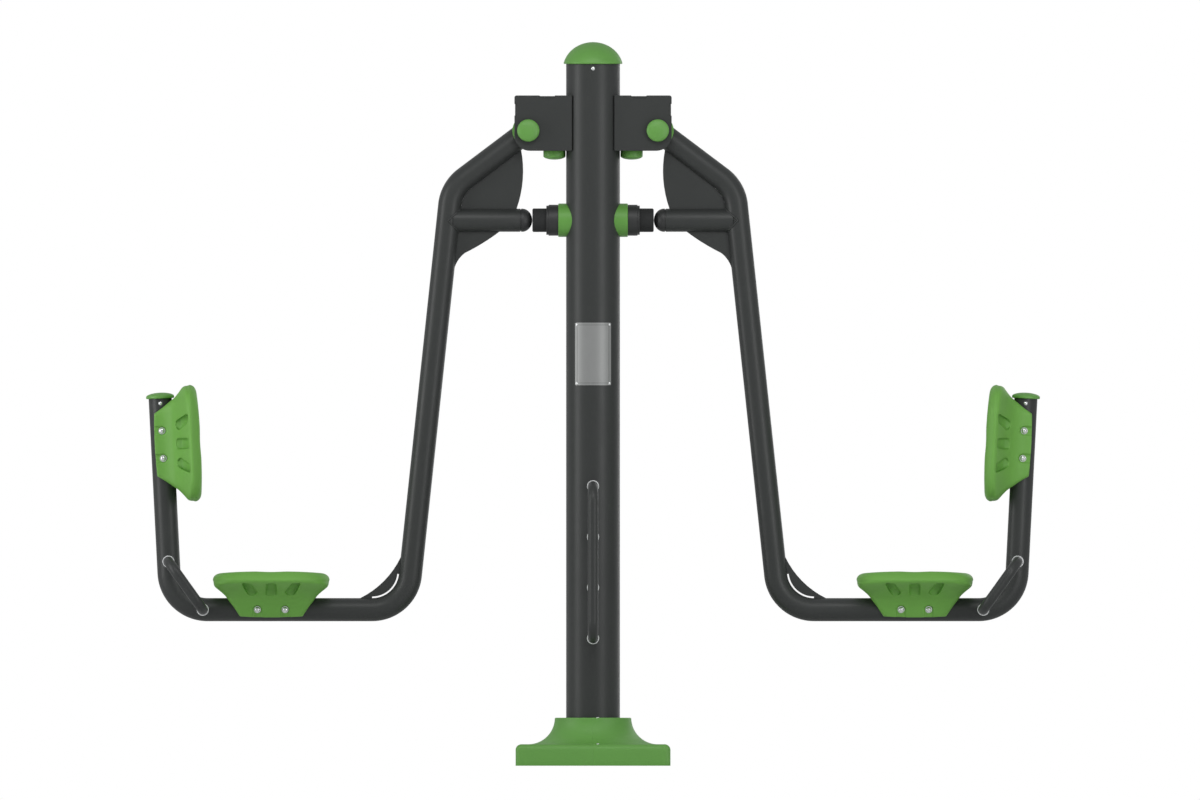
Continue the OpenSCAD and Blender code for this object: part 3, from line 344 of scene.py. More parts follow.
def baked(thing):
    """Mesh of an object with its modifiers applied; the object itself goes."""
    seen = thing.evaluated_get(bpy.context.evaluated_depsgraph_get())
    data = bpy.data.meshes.new_from_object(seen)
    old = thing.data
    bpy.data.objects.remove(thing)
    bpy.data.meshes.remove(old)
    return data


def loose(name, data):
    """An object on the bench, not yet a piece."""
    thing = bpy.data.objects.new(name, data)
    bpy.context.scene.collection.objects.link(thing)
    return thing


def fillet(corners, steps=6):
    """Outline whose corners are given as (x, y, radius)."""
    outline = []
    for i, (x, y, r) in enumerate(corners):
        b = Vector((x, y))
        if r == 0:
            outline.append(b)
            continue
        u = (Vector(corners[i - 1][:2]) - b).normalized()
        w = (Vector(corners[(i + 1) % len(corners)][:2]) - b).normalized()
        half = u.angle(w) / 2
        centre = b + (u + w).normalized() * r / math.sin(half)
        start = b + u * r / math.tan(half) - centre
        end = b + w * r / math.tan(half) - centre
        t0 = math.atan2(start.y, start.x)
        sweep = (math.atan2(end.y, end.x) - t0 + math.pi) % (2 * math.pi) - math.pi
        turns = [t0 + sweep * k / steps for k in range(steps + 1)]
        outline += [centre + r * Vector((math.cos(t), math.sin(t))) for t in turns]
    return outline


def turned(profile, around=96):
    """Closed solid turned from a closed (radius, height) outline; a point on the axis is a pole."""
    points, rings = [], []
    for r, h in profile:
        if r < 1e-6:
            rings.append([len(points)])
            points.append((0, 0, h))
            continue
        rings.append(list(range(len(points), len(points) + around)))
        turns = [2 * math.pi * k / around for k in range(around)]
        points += [(r * math.cos(t), r * math.sin(t), h) for t in turns]
    faces = []
    for j, low in enumerate(rings):
        high = rings[(j + 1) % len(rings)]
        for k in range(around):
            n = (k + 1) % around
            quad = [low[k % len(low)], low[n % len(low)], high[n % len(high)], high[k % len(high)]]
            face = list(dict.fromkeys(quad))
            if len(face) > 2:
                faces.append(face)
    return points, faces


def arc(a, b, lift, start, end, steps=16):
    """Elliptical arc in a turned profile."""
    return [(a * math.cos(math.radians(start + (end - start) * i / steps)),
             lift + b * math.sin(math.radians(start + (end - start) * i / steps)))
            for i in range(steps + 1)]


def facing(x, y, z, direction):
    """Place whose own +Z points along a direction."""
    turn = Vector(direction).to_track_quat("Z", "Y").to_matrix().to_4x4()
    return Matrix.Translation((x, y, z)) @ turn


def turned_piece(name, profile, places, slot, body, node, around=96, shine=None):
    """A piece that is one turned profile at each of its places."""
    shape = Shape()
    for place in places:
        shape.take(*turned(profile, around), place)
    return piece(name, shape.mesh(name), slot, body, node, shine=shine)


def mirror(s):
    """Left side from the right one, for s = -1."""
    return Matrix.Diagonal((s, 1, 1, 1))


def tube_end():
    """Upper end of the arm tube's middle line on the right side, as (x, z)."""
    lean = math.radians(BACK_LEAN)
    return (REAR[0] + BACK_LEN * math.sin(lean), REAR[1] + BACK_LEN * math.cos(lean))


# Geometry Nodes

def new_tree(name, sockets):
    """A geometry tree with named inputs; sockets are (name, kind, default)."""
    tree = bpy.data.node_groups.new(name, "GeometryNodeTree")
    tree.interface.new_socket("Geometry", in_out="INPUT", socket_type="NodeSocketGeometry")
    for label, kind, default in sockets:
        socket = tree.interface.new_socket(label, in_out="INPUT", socket_type="NodeSocket" + kind)
        if default is not None:
            socket.default_value = default
    tree.interface.new_socket("Geometry", in_out="OUTPUT", socket_type="NodeSocketGeometry")
    return tree, tree.nodes.new("NodeGroupInput")


def end_tree(tree, given, geometry):
    """Every tree ends in real geometry with its material."""
    smooth = add(tree, "GeometryNodeSetShadeSmooth", links={"Geometry": geometry})
    real = add(tree, "GeometryNodeRealizeInstances", links={"Geometry": smooth.outputs[0]})
    coat = add(tree, "GeometryNodeSetMaterial",
               links={"Geometry": real.outputs[0], "Material": given.outputs["Material"]})
    add(tree, "NodeGroupOutput", links={"Geometry": coat.outputs[0]})


def grown(name, data, tree, **values):
    """Mesh that a tree grows from a mesh of points or lines."""
    thing = loose(name, data)
    modifier = thing.modifiers.new(name, "NODES")
    modifier.node_group = tree
    for item in tree.interface.items_tree:
        if item.in_out == "INPUT" and item.name in values:
            modifier[item.identifier] = values[item.name]
    return baked(thing)


def line_mesh(name, lines):
    """Mesh of open lines, in millimetres; a line whose ends meet is closed."""
    points, edges = [], []
    for line in lines:
        first = len(points)
        closed = (Vector(line[0]) - Vector(line[-1])).length < 1e-6
        line = line[:-1] if closed else line
        points += [Vector(p) * MM for p in line]
        edges += [(first + i, first + i + 1) for i in range(len(line) - 1)]
        if closed:
            edges.append((first + len(line) - 1, first))
    data = bpy.data.meshes.new(name)
    data.from_pydata(points, edges, [])
    return data


def bent_tube_tree():
    """Round tube along a line of straight stretches, with its corners bent."""
    found = bpy.data.node_groups.get("bent tube")
    if found:
        return found
    tree, given = new_tree("bent tube", [("Radius", "Float", 0.03), ("Bend", "Float", 0.1),
                                         ("Bend Steps", "Int", 24), ("Around", "Int", 64),
                                         ("Material", "Material", None)])
    line = add(tree, "GeometryNodeMeshToCurve", links={"Mesh": given.outputs["Geometry"]})
    bend = add(tree, "GeometryNodeFilletCurve",
               links={"Curve": line.outputs[0], "Count": given.outputs["Bend Steps"],
                      "Radius": given.outputs["Bend"]}, mode="POLY")
    ring = add(tree, "GeometryNodeCurvePrimitiveCircle",
               links={"Resolution": given.outputs["Around"], "Radius": given.outputs["Radius"]})
    skin = add(tree, "GeometryNodeCurveToMesh", {"Fill Caps": True},
               {"Curve": bend.outputs[0], "Profile Curve": ring.outputs[0]})
    end_tree(tree, given, skin.outputs[0])
    return tree


def weld_tree():
    """Bead along a seam, with the ripples of the weld pool 2 mm apart."""
    found = bpy.data.node_groups.get("weld bead")
    if found:
        return found
    tree, given = new_tree("weld bead", [("Radius", "Float", 0.0026), ("Ripple", "Float", 0.004),
                                         ("Material", "Material", None)])
    line = add(tree, "GeometryNodeMeshToCurve", links={"Mesh": given.outputs["Geometry"]})
    fine = add(tree, "GeometryNodeResampleCurve", {"Length": 0.001}, {"Curve": line.outputs[0]},
               mode="LENGTH")
    way = add(tree, "GeometryNodeSplineParameter")
    phase = maths(tree, "DIVIDE", way.outputs["Length"], given.outputs["Ripple"])
    wave = maths(tree, "SINE", maths(tree, "MULTIPLY", phase, 2 * math.pi))
    size = add(tree, "ShaderNodeMapRange",
               {"From Min": -1.0, "From Max": 1.0, "To Min": 0.86, "To Max": 1.08},
               {"Value": wave})
    ring = add(tree, "GeometryNodeCurvePrimitiveCircle", {"Resolution": 8},
               {"Radius": given.outputs["Radius"]})
    skin = add(tree, "GeometryNodeCurveToMesh", {"Fill Caps": True},
               {"Curve": fine.outputs[0], "Profile Curve": ring.outputs[0],
                "Scale": size.outputs[0]})
    end_tree(tree, given, skin.outputs[0])
    return tree


def screw_tree():
    """Domed heads on points that carry the way each head faces."""
    found = bpy.data.node_groups.get("screw heads")
    if found:
        return found
    tree, given = new_tree("screw heads", [
        ("Head Radius", "Float", 0.005), ("Head Height", "Float", 0.003),
        ("Socket Radius", "Float", 0.002), ("Socket Depth", "Float", 0.002),
        ("Washer Radius", "Float", 0.006), ("Washer Height", "Float", 0.001),
        ("Sunk", "Float", 0.002), ("Material", "Material", None)])
    out = given.outputs
    ball = add(tree, "GeometryNodeMeshUVSphere", {"Segments": 40, "Rings": 24, "Radius": 1.0})
    high = add(tree, "ShaderNodeCombineXYZ",
               links={"X": out["Head Radius"], "Y": out["Head Radius"], "Z": out["Head Height"]})
    base = add(tree, "ShaderNodeCombineXYZ", links={"Z": out["Washer Height"]})
    head = add(tree, "GeometryNodeTransform",
               links={"Geometry": ball.outputs["Mesh"], "Scale": high.outputs[0],
                      "Translation": base.outputs[0]})
    crown = maths(tree, "ADD", out["Head Height"], out["Washer Height"])
    hexagon = add(tree, "GeometryNodeMeshCylinder", {"Vertices": 6, "Side Segments": 1},
                  {"Radius": out["Socket Radius"],
                   "Depth": maths(tree, "MULTIPLY", out["Socket Depth"], 2.0)})
    rise = add(tree, "ShaderNodeCombineXYZ", links={"Z": crown})
    socket = add(tree, "GeometryNodeTransform",
                 links={"Geometry": hexagon.outputs["Mesh"], "Translation": rise.outputs[0]})
    cut = add(tree, "GeometryNodeMeshBoolean", links={"Mesh 1": head.outputs[0],
                                                      "Mesh 2": socket.outputs[0]},
              operation="DIFFERENCE")
    disc = add(tree, "GeometryNodeMeshCylinder", {"Vertices": 48, "Side Segments": 1},
               {"Radius": out["Washer Radius"],
                "Depth": maths(tree, "ADD", out["Washer Height"], out["Sunk"])})
    drop = maths(tree, "SUBTRACT", out["Washer Height"], out["Sunk"])
    lift = add(tree, "ShaderNodeCombineXYZ", links={"Z": maths(tree, "MULTIPLY", drop, 0.5)})
    washer = add(tree, "GeometryNodeTransform",
                 links={"Geometry": disc.outputs["Mesh"], "Translation": lift.outputs[0]})
    both = add(tree, "GeometryNodeJoinGeometry")
    tree.links.new(cut.outputs["Mesh"], both.inputs[0])
    tree.links.new(washer.outputs[0], both.inputs[0])
    way = add(tree, "GeometryNodeInputNamedAttribute", {"Name": "facing"}, data_type="FLOAT_VECTOR")
    turn = add(tree, "FunctionNodeAlignRotationToVector", links={"Vector": way.outputs[0]},
               axis="Z")
    put = add(tree, "GeometryNodeInstanceOnPoints",
              links={"Points": out["Geometry"], "Instance": both.outputs[0],
                     "Rotation": turn.outputs[0]})
    end_tree(tree, given, put.outputs[0])
    return tree


# Head, socket and washer of the screws in the post cap and the tube caps
CAP_SCREW = ((5, 3), (1.6, 1.6), (5.2, 0.2))


def screws(name, spots, head, socket, washer, sunk=1.5):
    """Heads at (point, direction) spots; head, socket and washer are (radius, height)."""
    data = bpy.data.meshes.new(name)
    data.from_pydata([Vector(p) * MM for p, _ in spots], [], [])
    way = data.attributes.new("facing", "FLOAT_VECTOR", "POINT")
    for i, (_, direction) in enumerate(spots):
        way.data[i].vector = direction
    heads = grown(name, data, screw_tree(), **{
        "Head Radius": head[0] * MM, "Head Height": head[1] * MM, "Socket Radius": socket[0] * MM,
        "Socket Depth": socket[1] * MM, "Washer Radius": washer[0] * MM,
        "Washer Height": washer[1] * MM, "Sunk": sunk * MM, "Material": finish("bright_steel")})
    smooth_by_angle(heads, 40)
    return heads


def tubes(name, lines, radius, bend):
    """Coated tubes along lines, with their corners bent."""
    sizes = bpy.context.scene.station_sizes
    data = grown(name, line_mesh(name, lines), bent_tube_tree(), **{
        "Radius": radius, "Bend": bend, "Bend Steps": sizes.bend_steps, "Around": sizes.around,
        "Material": finish("powder_coat")})
    smooth_by_angle(data, 40)
    return data


def welds(name, lines):
    """Weld beads along seams."""
    return grown(name, line_mesh(name, lines), weld_tree(), **{
        "Radius": bpy.context.scene.station_sizes.weld_r, "Material": finish("powder_coat")})


# Pieces

def record_slots():
    """Material slot of each of the frame's nodes."""
    return {p["node"]: p["material_slot"] for p in frame["record"]["subparts"]}


class STATION_OT_coats(bpy.types.Operator):
    """Coat every solid of the frame with its own finish"""
    bl_idname = "station.coats"
    bl_label = "Finishes of the frame"

    def execute(self, context):
        slots = record_slots()
        for node, thing in frame["nodes"].items():
            thing.data.materials.clear()
            thing.data.materials.append(finish(slots[node]))
        return {"FINISHED"}


class STATION_OT_plates(bpy.types.Operator):
    """Cut plates and welded steel with eased edges"""
    bl_idname = "station.plates"
    bl_label = "Plates with eased edges"

    def execute(self, context):
        edge = context.scene.station_sizes.plate_edge
        nodes = ["base_flange"]
        for side in SIDES:
            nodes += [f"{side}_{n}" for n in ("bracket_cheeks", "bracket_hood", "bracket_floor",
                                              "gussets", "pivot_housing")]
        slots = record_slots()
        for node in nodes:
            data = frame["nodes"][node].data.copy()
            shell = bmesh.new()
            shell.from_mesh(data)
            bmesh.ops.remove_doubles(shell, verts=shell.verts, dist=2e-5)
            bmesh.ops.dissolve_limit(shell, angle_limit=math.radians(1), verts=shell.verts,
                                     edges=shell.edges)
            shell.to_mesh(data)
            shell.free()
            smooth_by_angle(data, 30)
            bench = loose("bench", data)
            bevel = bench.modifiers.new("edge", "BEVEL")
            bevel.width, bevel.segments, bevel.limit_method = edge, 2, "ANGLE"
            bevel.angle_limit, bevel.harden_normals = math.radians(40), True
            even = bench.modifiers.new("even", "WEIGHTED_NORMAL")
            even.keep_sharp, even.weight = True, 100
            data = baked(bench)
            piece(f"{node}_eased", data, slots[node], frame["nodes"][node]["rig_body"], node)
        return {"FINISHED"}


class STATION_OT_post(bpy.types.Operator):
    """Post, its domed cap and the cap's screws"""
    bl_idname = "station.post"
    bl_label = "Post and cap"

    def execute(self, context):
        inner, edge, foot = POST_R - POST_WALL, 0.6, 12
        tube = [(inner, foot), (POST_R, foot), (POST_R, POST_TOP - edge), (POST_R - edge, POST_TOP),
                (inner + edge, POST_TOP), (inner, POST_TOP - edge)]
        turned_piece("post_shaft", tube, [Matrix.Identity(4)], "powder_coat", "post", "post_tube",
                     160)
        # The dome is part of an ellipse whose middle lies below the cap's rim
        rim, drop, height = POST_R + 6.5, 13.7, 57
        b = height + drop
        t0 = math.degrees(math.asin((drop + 2.5) / b))
        a = rim / math.cos(math.radians(t0))
        skirt, wall = inner - 0.3, 3
        cap = [(skirt - wall, -40), (skirt, -40), (skirt, 0), (rim - 2.5, 0), (rim - 0.8, 0.7),
               (rim - 0.15, 2)]
        cap += arc(a, b, -drop, t0, 90, 40) + [(0, height - wall), (skirt - wall, 12)]
        turned_piece("post_dome", cap, [Matrix.Translation((0, 0, POST_TOP))], "green_cap", "post",
                     "post_cap", 160)
        return {"FINISHED"}


class STATION_OT_base_cover(bpy.types.Operator):
    """Two moulded halves of the base cover"""
    bl_idname = "station.base_cover"
    bl_label = "Base cover"

    def execute(self, context):
        for side, s in SIDES.items():
            bench = loose("bench", cover_half(s))
            wall = bench.modifiers.new("wall", "SOLIDIFY")
            wall.thickness, wall.offset, wall.use_even_offset = COVER_WALL * MM, -1, True
            edge = bench.modifiers.new("edge", "BEVEL")
            edge.width, edge.segments, edge.limit_method = 0.0003, 2, "ANGLE"
            edge.angle_limit = math.radians(50)
            data = baked(bench)
            smooth_by_angle(data, 35)
            piece(f"base_skirt_{side}", data, "green_cover", "post", f"base_cover_{side}")
        return {"FINISHED"}


def cover_half(s):
    """Outer skin of one half of the base cover, from the post out to the ground."""
    # Steps of 2 degrees, and of 0.5 round the corner at 45
    half = ([2 * i for i in range(20)] + [40 + 0.5 * i for i in range(20)]
            + [50 + 2 * i for i in range(21)])
    angles = [math.radians(t) for t in [-t for t in reversed(half[1:])] + half]
    seam = 0.05
    neck_top = COVER_H + COVER_SWEEP
    border = COVER_NECK + COVER_SWEEP
    rings = [lambda t: (POST_R + 0.3, neck_top - 0.6), lambda t: (POST_R + 0.9, neck_top)]
    lip = 2.5
    for k in range(5):
        u = math.radians(90 - 22.5 * k)
        rings.append(lambda t, u=u: (COVER_NECK - lip + lip * math.cos(u),
                                     neck_top - lip + lip * math.sin(u)))
    for k in range(1, 33):
        u = math.radians(2 + 88 * k / 32)
        rings.append(lambda t, u=u: (border - COVER_SWEEP * math.cos(u),
                                     neck_top - COVER_SWEEP * math.sin(u)))

    def square(t, half, corner):
        """Distance from the middle to a square with rounded corners, at an angle."""
        c, d = abs(math.cos(t)), abs(math.sin(t))
        flat = half / max(c, d)
        if min(c, d) * flat <= half - corner:
            return flat
        m = half - corner
        along = m * (c + d)
        return along + math.sqrt(max(0, along * along - 2 * m * m + corner * corner))

    inner_half, less = COVER_HALF - COVER_EDGE, 5
    for k in (0.33, 0.66, 1):
        rings.append(lambda t, k=k: (
            border + k * (square(t, inner_half, COVER_CORNER - less) - border), COVER_H))
    for k in range(1, 9):
        u = math.radians(11.25 * k)
        grow = COVER_EDGE * math.sin(u)
        rings.append(lambda t, u=u, grow=grow: (
            square(t, inner_half + grow, COVER_CORNER - less * math.cos(u)),
            COVER_H - COVER_EDGE * (1 - math.cos(u))))
    for z in (30, 12, 0):
        rings.append(lambda t, z=z: (square(t, COVER_HALF, COVER_CORNER), z))
    points = []
    for ring in rings:
        for t in angles:
            r, z = ring(t)
            points.append((max(seam, r * math.cos(t)), r * math.sin(t), z))
    n = len(angles)
    faces = [(j * n + i, (j + 1) * n + i, (j + 1) * n + i + 1, j * n + i + 1)
             for j in range(len(rings) - 1) for i in range(n - 1)]
    # The left half is the right one turned round the post
    turn = Matrix.Identity(4) if s > 0 else Matrix.Rotation(math.pi, 4, "Z")
    return Shape().take(points, faces, turn).mesh("cover")


class STATION_OT_arm_tubes(bpy.types.Operator):
    """Bent arm tubes and the stubs that rest on the buffers"""
    bl_idname = "station.arm_tubes"
    bl_label = "Arm tubes"

    def execute(self, context):
        for side, s in SIDES.items():
            # The tube starts inside the housing, so that its square end doesn't show
            way = (Vector(KNEE) - Vector(PIVOT)).normalized() * (HOUSING_R - 13)
            route = [Vector(PIVOT) + way, KNEE, HEEL, REAR, tube_end()]
            data = tubes("arm", [[(s * p[0], 0, p[1]) for p in route]], TUBE_R * MM,
                         context.scene.station_sizes.bend_r)
            piece(f"{side}_arm_route", data, "powder_coat", f"{side}_arm", f"{side}_arm_tube")
            long = 175
            shell = [(TUBE_R - 1, 0), (TUBE_R - 0.3, 0.2), (TUBE_R, 0.9), (TUBE_R, long), (0, long),
                     (0, 2)]
            stub = Shape().take(*turned(shell), facing(stub_end(), 0, BUFFER_Z, (1, 0, 0)))
            stub = Shape().take(stub.points, stub.faces, mirror(s), flip=s < 0)
            piece(f"{side}_stub", cut_to_arm(stub, s), "powder_coat", f"{side}_arm",
                  f"{side}_stub_tube")
        return {"FINISHED"}


def stub_end():
    """Where the stub tube starts: past the buffer and the plug."""
    return POST_R + BUFFER_BASE_LEN + CUP_LEN + PAD_PROUD + REST_GAP + PLUG_DOME + PLUG_NECK


def cut_to_arm(shape, s):
    """A stub's mesh, drawn back so that its far end stays inside the arm tube."""
    u = (Vector(HEEL) - Vector(KNEE)).normalized()
    for p in shape.points:
        reach = KNEE[0] + (KNEE[1] - p.z) * u.x / -u.y
        if p.x * s > reach:
            p.x = s * reach
    return shape.mesh("stub", merge=1e-6)


def grip_ends():
    """Where a grip leaves the arm tube: below the seat's end and behind the back."""
    lean = math.radians(BACK_LEAN)
    return (Vector((REAR[0] - GRIP_LOW, REAR[1])),
            Vector((REAR[0] + GRIP_HIGH * math.sin(lean), REAR[1] + GRIP_HIGH * math.cos(lean))))


class STATION_OT_bars(bpy.types.Operator):
    """Foot bars with their rungs, and the hand grips"""
    bl_idname = "station.bars"
    bl_label = "Foot bars and grips"

    def execute(self, context):
        sizes = context.scene.station_sizes
        start = POST_R - 8
        rows = [FOOT_Z + i * FOOT_PITCH for i in range(FOOT_ROWS)]
        lines = []
        for t in (-1, 1):
            near, far = t * start, t * FOOT_REACH
            lines.append([(0, near, rows[0]), (0, far, rows[0]), (0, far, rows[-1]),
                          (0, near, rows[-1])])
            lines += [[(0, near, z), (0, far, z)] for z in rows[1:-1]]
        data = tubes("bars", lines, sizes.bar_r, sizes.bar_bend_r)
        piece("foot_rail", data, "powder_coat", "post", "foot_bars")
        low, high = grip_ends()
        for side, s in SIDES.items():
            lines = [[(s * low.x, 0, low.y), (s * low.x, far, low.y), (s * high.x, far, high.y),
                      (s * high.x, 0, high.y)] for far in (-GRIP_REACH, GRIP_REACH)]
            data = tubes("grip", lines, sizes.bar_r, sizes.bar_bend_r)
            piece(f"{side}_hand_grips", data, "powder_coat", f"{side}_arm", f"{side}_grips")
        return {"FINISHED"}


# Rows of [height, length, width] shares up the saddle's flank, as in the frame
FLARE = ((0, 0, 0), (0.25, 0.215, 0.03), (0.47, 0.43, 0.12), (0.59, 0.545, 0.24),
         (0.72, 0.735, 0.45), (0.84, 0.93, 0.74), (0.93, 0.985, 0.93), (1, 1, 1))
# The shell made from these comes out 303.6 mm long and 316.5 wide; the frame's is 300 by 320
PAD_L, PAD_W, PAD_RISE, PAD_BELLY = 304.4, 320, 99.6, 74
SKIRT_L, SKIRT_W, SKIRT_DROP, SKIRT_BOW = 164, 84, 17.6, 2.9
# The rim stands a step proud of the flank, and its ends are blunter than its sides, which lean in
RIM_R, RIM_CROWN, RIM_STEP, RIM_BLUNT, RIM_LEAN, DISH = 28, 4, 2, 1.25, 0.65, 10
# Outlines of the pockets in the flank, as shares of half the length and of the height
MID_POCKET = ((-0.085, 0.69), (-0.1, 0.4), (-0.06, 0.35), (0.06, 0.35), (0.1, 0.4), (0.085, 0.69))
SIDE_POCKET = ((0.353, 0.69), (0.232, 0.46), (0.245, 0.4), (0.31, 0.35), (0.385, 0.37),
               (0.415, 0.42), (0.51, 0.7))
# A pocket's back as (height, distance from the tube's axis): it leaves the flank as a ramp
POCKET_BACK = ((34, 65.5), (45, 70), (51, 72), (60, 84), (68, 103))
# Both long edges dip a little in their middle
RIM_DIP, DIP_HALF = 1.4, 0.36
BOLT_SEAT, BOLT_RECESS_R = 38, 11.5


def eased(rows, t, column):
    """Smooth curve through the rows of a table, at height t."""
    i = max(0, min(len(rows) - 2, sum(1 for r in rows if r[0] <= t) - 1))
    a, b = rows[i], rows[i + 1]
    before, after = rows[max(0, i - 1)], rows[min(len(rows) - 1, i + 2)]
    span = b[0] - a[0]
    u = (t - a[0]) / span
    slope_a = (b[column] - before[column]) / max(1e-6, b[0] - before[0]) * span
    slope_b = (after[column] - a[column]) / max(1e-6, after[0] - a[0]) * span
    return ((2 * u ** 3 - 3 * u ** 2 + 1) * a[column] + (u ** 3 - 2 * u ** 2 + u) * slope_a
            + (3 * u ** 2 - 2 * u ** 3) * b[column] + (u ** 3 - u ** 2) * slope_b)


def saddle_rings(count=240):
    """Closed rings of the saddle from its skirt up over the rim and into the dished top."""
    def ring(a, b, power, z, sag=0, bend=2, dip=0):
        points = []
        for k in range(count):
            t = 2 * math.pi * k / count
            c, d = math.cos(t), math.sin(t)
            r = (abs(c / a) ** power + abs(d / b) ** power) ** (-1 / power)
            along = abs(r * c / a)
            points.append((r * c, r * d, z + sag * along ** bend
                           - dip * max(0, 1 - (along / DIP_HALF) ** 2) ** 2))
        return points

    rings = []
    for k in range(41):
        t = k / 40
        sag = SKIRT_BOW * max(0, 1 - 4 * t)
        # The flank draws in under the rim, which makes the crease
        inset = RIM_STEP * t ** 6
        rings.append(ring(SKIRT_L / 2 + eased(FLARE, t, 1) * (PAD_L - SKIRT_L) / 2 - inset,
                          SKIRT_W / 2 + eased(FLARE, t, 2) * (PAD_W - SKIRT_W) / 2 - inset,
                          14 - 10 * t, t * (PAD_BELLY + SKIRT_DROP) - SKIRT_DROP - sag, sag))
    for k in range(1, 13):
        t = math.radians(7.5 * k)
        draw = RIM_R * (1 - math.cos(t)) ** RIM_BLUNT
        lean = RIM_R * (1 - math.cos(t)) ** RIM_LEAN
        rings.append(ring(PAD_L / 2 - draw, PAD_W / 2 - lean, 4,
                          PAD_BELLY + (PAD_RISE - PAD_BELLY) * math.sin(t),
                          -RIM_CROWN * math.sin(t), 3, RIM_DIP * math.sin(t)))
    for k in range(1, 12):
        s = 1 - k / 12
        rings.append(ring(s * (PAD_L / 2 - RIM_R), s * (PAD_W / 2 - RIM_R), 4,
                          PAD_RISE - DISH * (1 - s * s) ** 1.5, -RIM_CROWN * s ** 3, 3,
                          RIM_DIP * s))
    return rings


def between(rows, t):
    """Straight lines through the (key, value) rows of a table."""
    for (a, low), (b, high) in zip(rows, rows[1:]):
        if t <= b:
            return low + (high - low) * max(0, t - a) / (b - a)
    return rows[-1][1]


def scoop(shares, steps=30):
    """Cutter of one pocket: level slices that narrow towards the pocket's back."""
    corners = [(x * PAD_L / 2, z * PAD_RISE) for x, z in shares]
    low, high = min(z for _, z in corners), max(z for _, z in corners)
    draft = 2.5
    points = []
    for k in range(steps + 1):
        z = low + 0.4 + (high - low - 0.8) * k / steps
        spans = []
        for (x0, z0), (x1, z1) in zip(corners, corners[1:] + corners[:1]):
            if min(z0, z1) <= z < max(z0, z1):
                spans.append(x0 + (x1 - x0) * (z - z0) / (z1 - z0))
        left, right = min(spans), max(spans)
        inset = min(draft, (right - left) / 3)
        back = between(POCKET_BACK, z)
        points += [(left + inset, back, z), (right - inset, back, z), (right, back + 18, z),
                   (right, PAD_W, z), (left, PAD_W, z), (left, back + 18, z)]
    faces = [tuple(reversed(range(6))), tuple(6 * steps + k for k in range(6))]
    faces += [(6 * j + k, 6 * j + (k + 1) % 6, 6 * j + 6 + (k + 1) % 6, 6 * j + 6 + k)
              for j in range(steps) for k in range(6)]
    return points, faces


def saddle_mesh():
    """The moulded saddle in its own frame: the tube's axis along X, the seat face up."""
    rings = saddle_rings()
    n = len(rings[0])
    points = [p for r in rings for p in r]
    faces = [(j * n + k, j * n + (k + 1) % n, (j + 1) * n + (k + 1) % n, (j + 1) * n + k)
             for j in range(len(rings) - 1) for k in range(n)]
    faces.append(tuple(reversed(range(n))))
    faces.append(tuple((len(rings) - 1) * n + k for k in range(n)))
    bench = loose("bench", Shape().take(points, faces).mesh("saddle"))
    tools = Shape()
    free, deep = TUBE_R + 0.6, -90
    bore = fillet([(-free, deep, 0), (free, deep, 0), (free, free, free - 0.1),
                   (-free, free, free - 0.1)], 16)
    along = Matrix(((0, 0, 1, 0), (1, 0, 0, 0), (0, 1, 0, 0), (0, 0, 0, 1)))
    tools.take(*prism(bore, -PAD_L, PAD_L), along)
    pockets = [MID_POCKET, SIDE_POCKET, tuple((-x, z) for x, z in reversed(SIDE_POCKET))]
    r = BOLT_RECESS_R
    for t in (-1, 1):
        for shares in pockets:
            tools.take(*scoop(shares), Matrix.Diagonal((1, t, 1, 1)))
        outward = Matrix(((1, 0, 0, 0), (0, 0, t, 0), (0, 1, 0, 0), (0, 0, 0, 1)))
        for x in (-BOLT_PITCH / 2, BOLT_PITCH / 2):
            recess = [(x + r * math.cos(math.pi * k / 16), r * math.sin(math.pi * k / 16))
                      for k in range(17)] + [(x - r, -60), (x + r, -60)]
            tools.take(*prism(recess, BOLT_SEAT, PAD_W), outward)
    cutter = loose("cutter", tools.mesh("cutter", merge=1e-7))
    cut = bench.modifiers.new("cut", "BOOLEAN")
    cut.operation, cut.object, cut.solver, cut.use_self = "DIFFERENCE", cutter, "EXACT", True
    cells = bench.modifiers.new("cells", "REMESH")
    cells.mode, cells.voxel_size = "VOXEL", bpy.context.scene.station_sizes.voxel
    soft = bench.modifiers.new("soft", "SMOOTH")
    soft.factor, soft.iterations = 0.5, 3
    data = baked(bench)
    bpy.data.objects.remove(cutter)
    data.polygons.foreach_set("use_smooth", [True] * len(data.polygons))
    return data


def prism(outline, low, high):
    """Solid with a plane outline, from one depth to another."""
    n = len(outline)
    points = [(p[0], p[1], low) for p in outline] + [(p[0], p[1], high) for p in outline]
    faces = [(k, (k + 1) % n, n + (k + 1) % n, n + k) for k in range(n)]
    faces += [tuple(reversed(range(n))), tuple(range(n, 2 * n))]
    return points, faces


def saddle_places():
    """Places of the seat and the backrest on the right arm, in millimetres."""
    seat = Matrix.Translation((SEAT_X, 0, REAR[1]))
    back = (Matrix.Translation((REAR[0], 0, REAR[1]))
            @ Matrix.Rotation(math.radians(BACK_LEAN - 90), 4, "Y")
            @ Matrix.Translation((BACK_SEAT_LEN, 0, 0)))
    return {"seat": seat, "backrest": back}


class STATION_OT_saddles(bpy.types.Operator):
    """Moulded seats and backrests"""
    bl_idname = "station.saddles"
    bl_label = "Seats and backrests"

    def execute(self, context):
        master = saddle_mesh()
        for side, s in SIDES.items():
            for part, place in saddle_places().items():
                data = master.copy()
                data.transform(mirror(s) @ Matrix.Diagonal((MM, MM, MM, 1)) @ place
                               @ Matrix.Diagonal((1 / MM, 1 / MM, 1 / MM, 1)))
                if s < 0:
                    data.flip_normals()
                piece(f"{side}_{part}_shell", data, "green_seat", f"{side}_arm", f"{side}_{part}")
        bpy.data.meshes.remove(master)
        return {"FINISHED"}


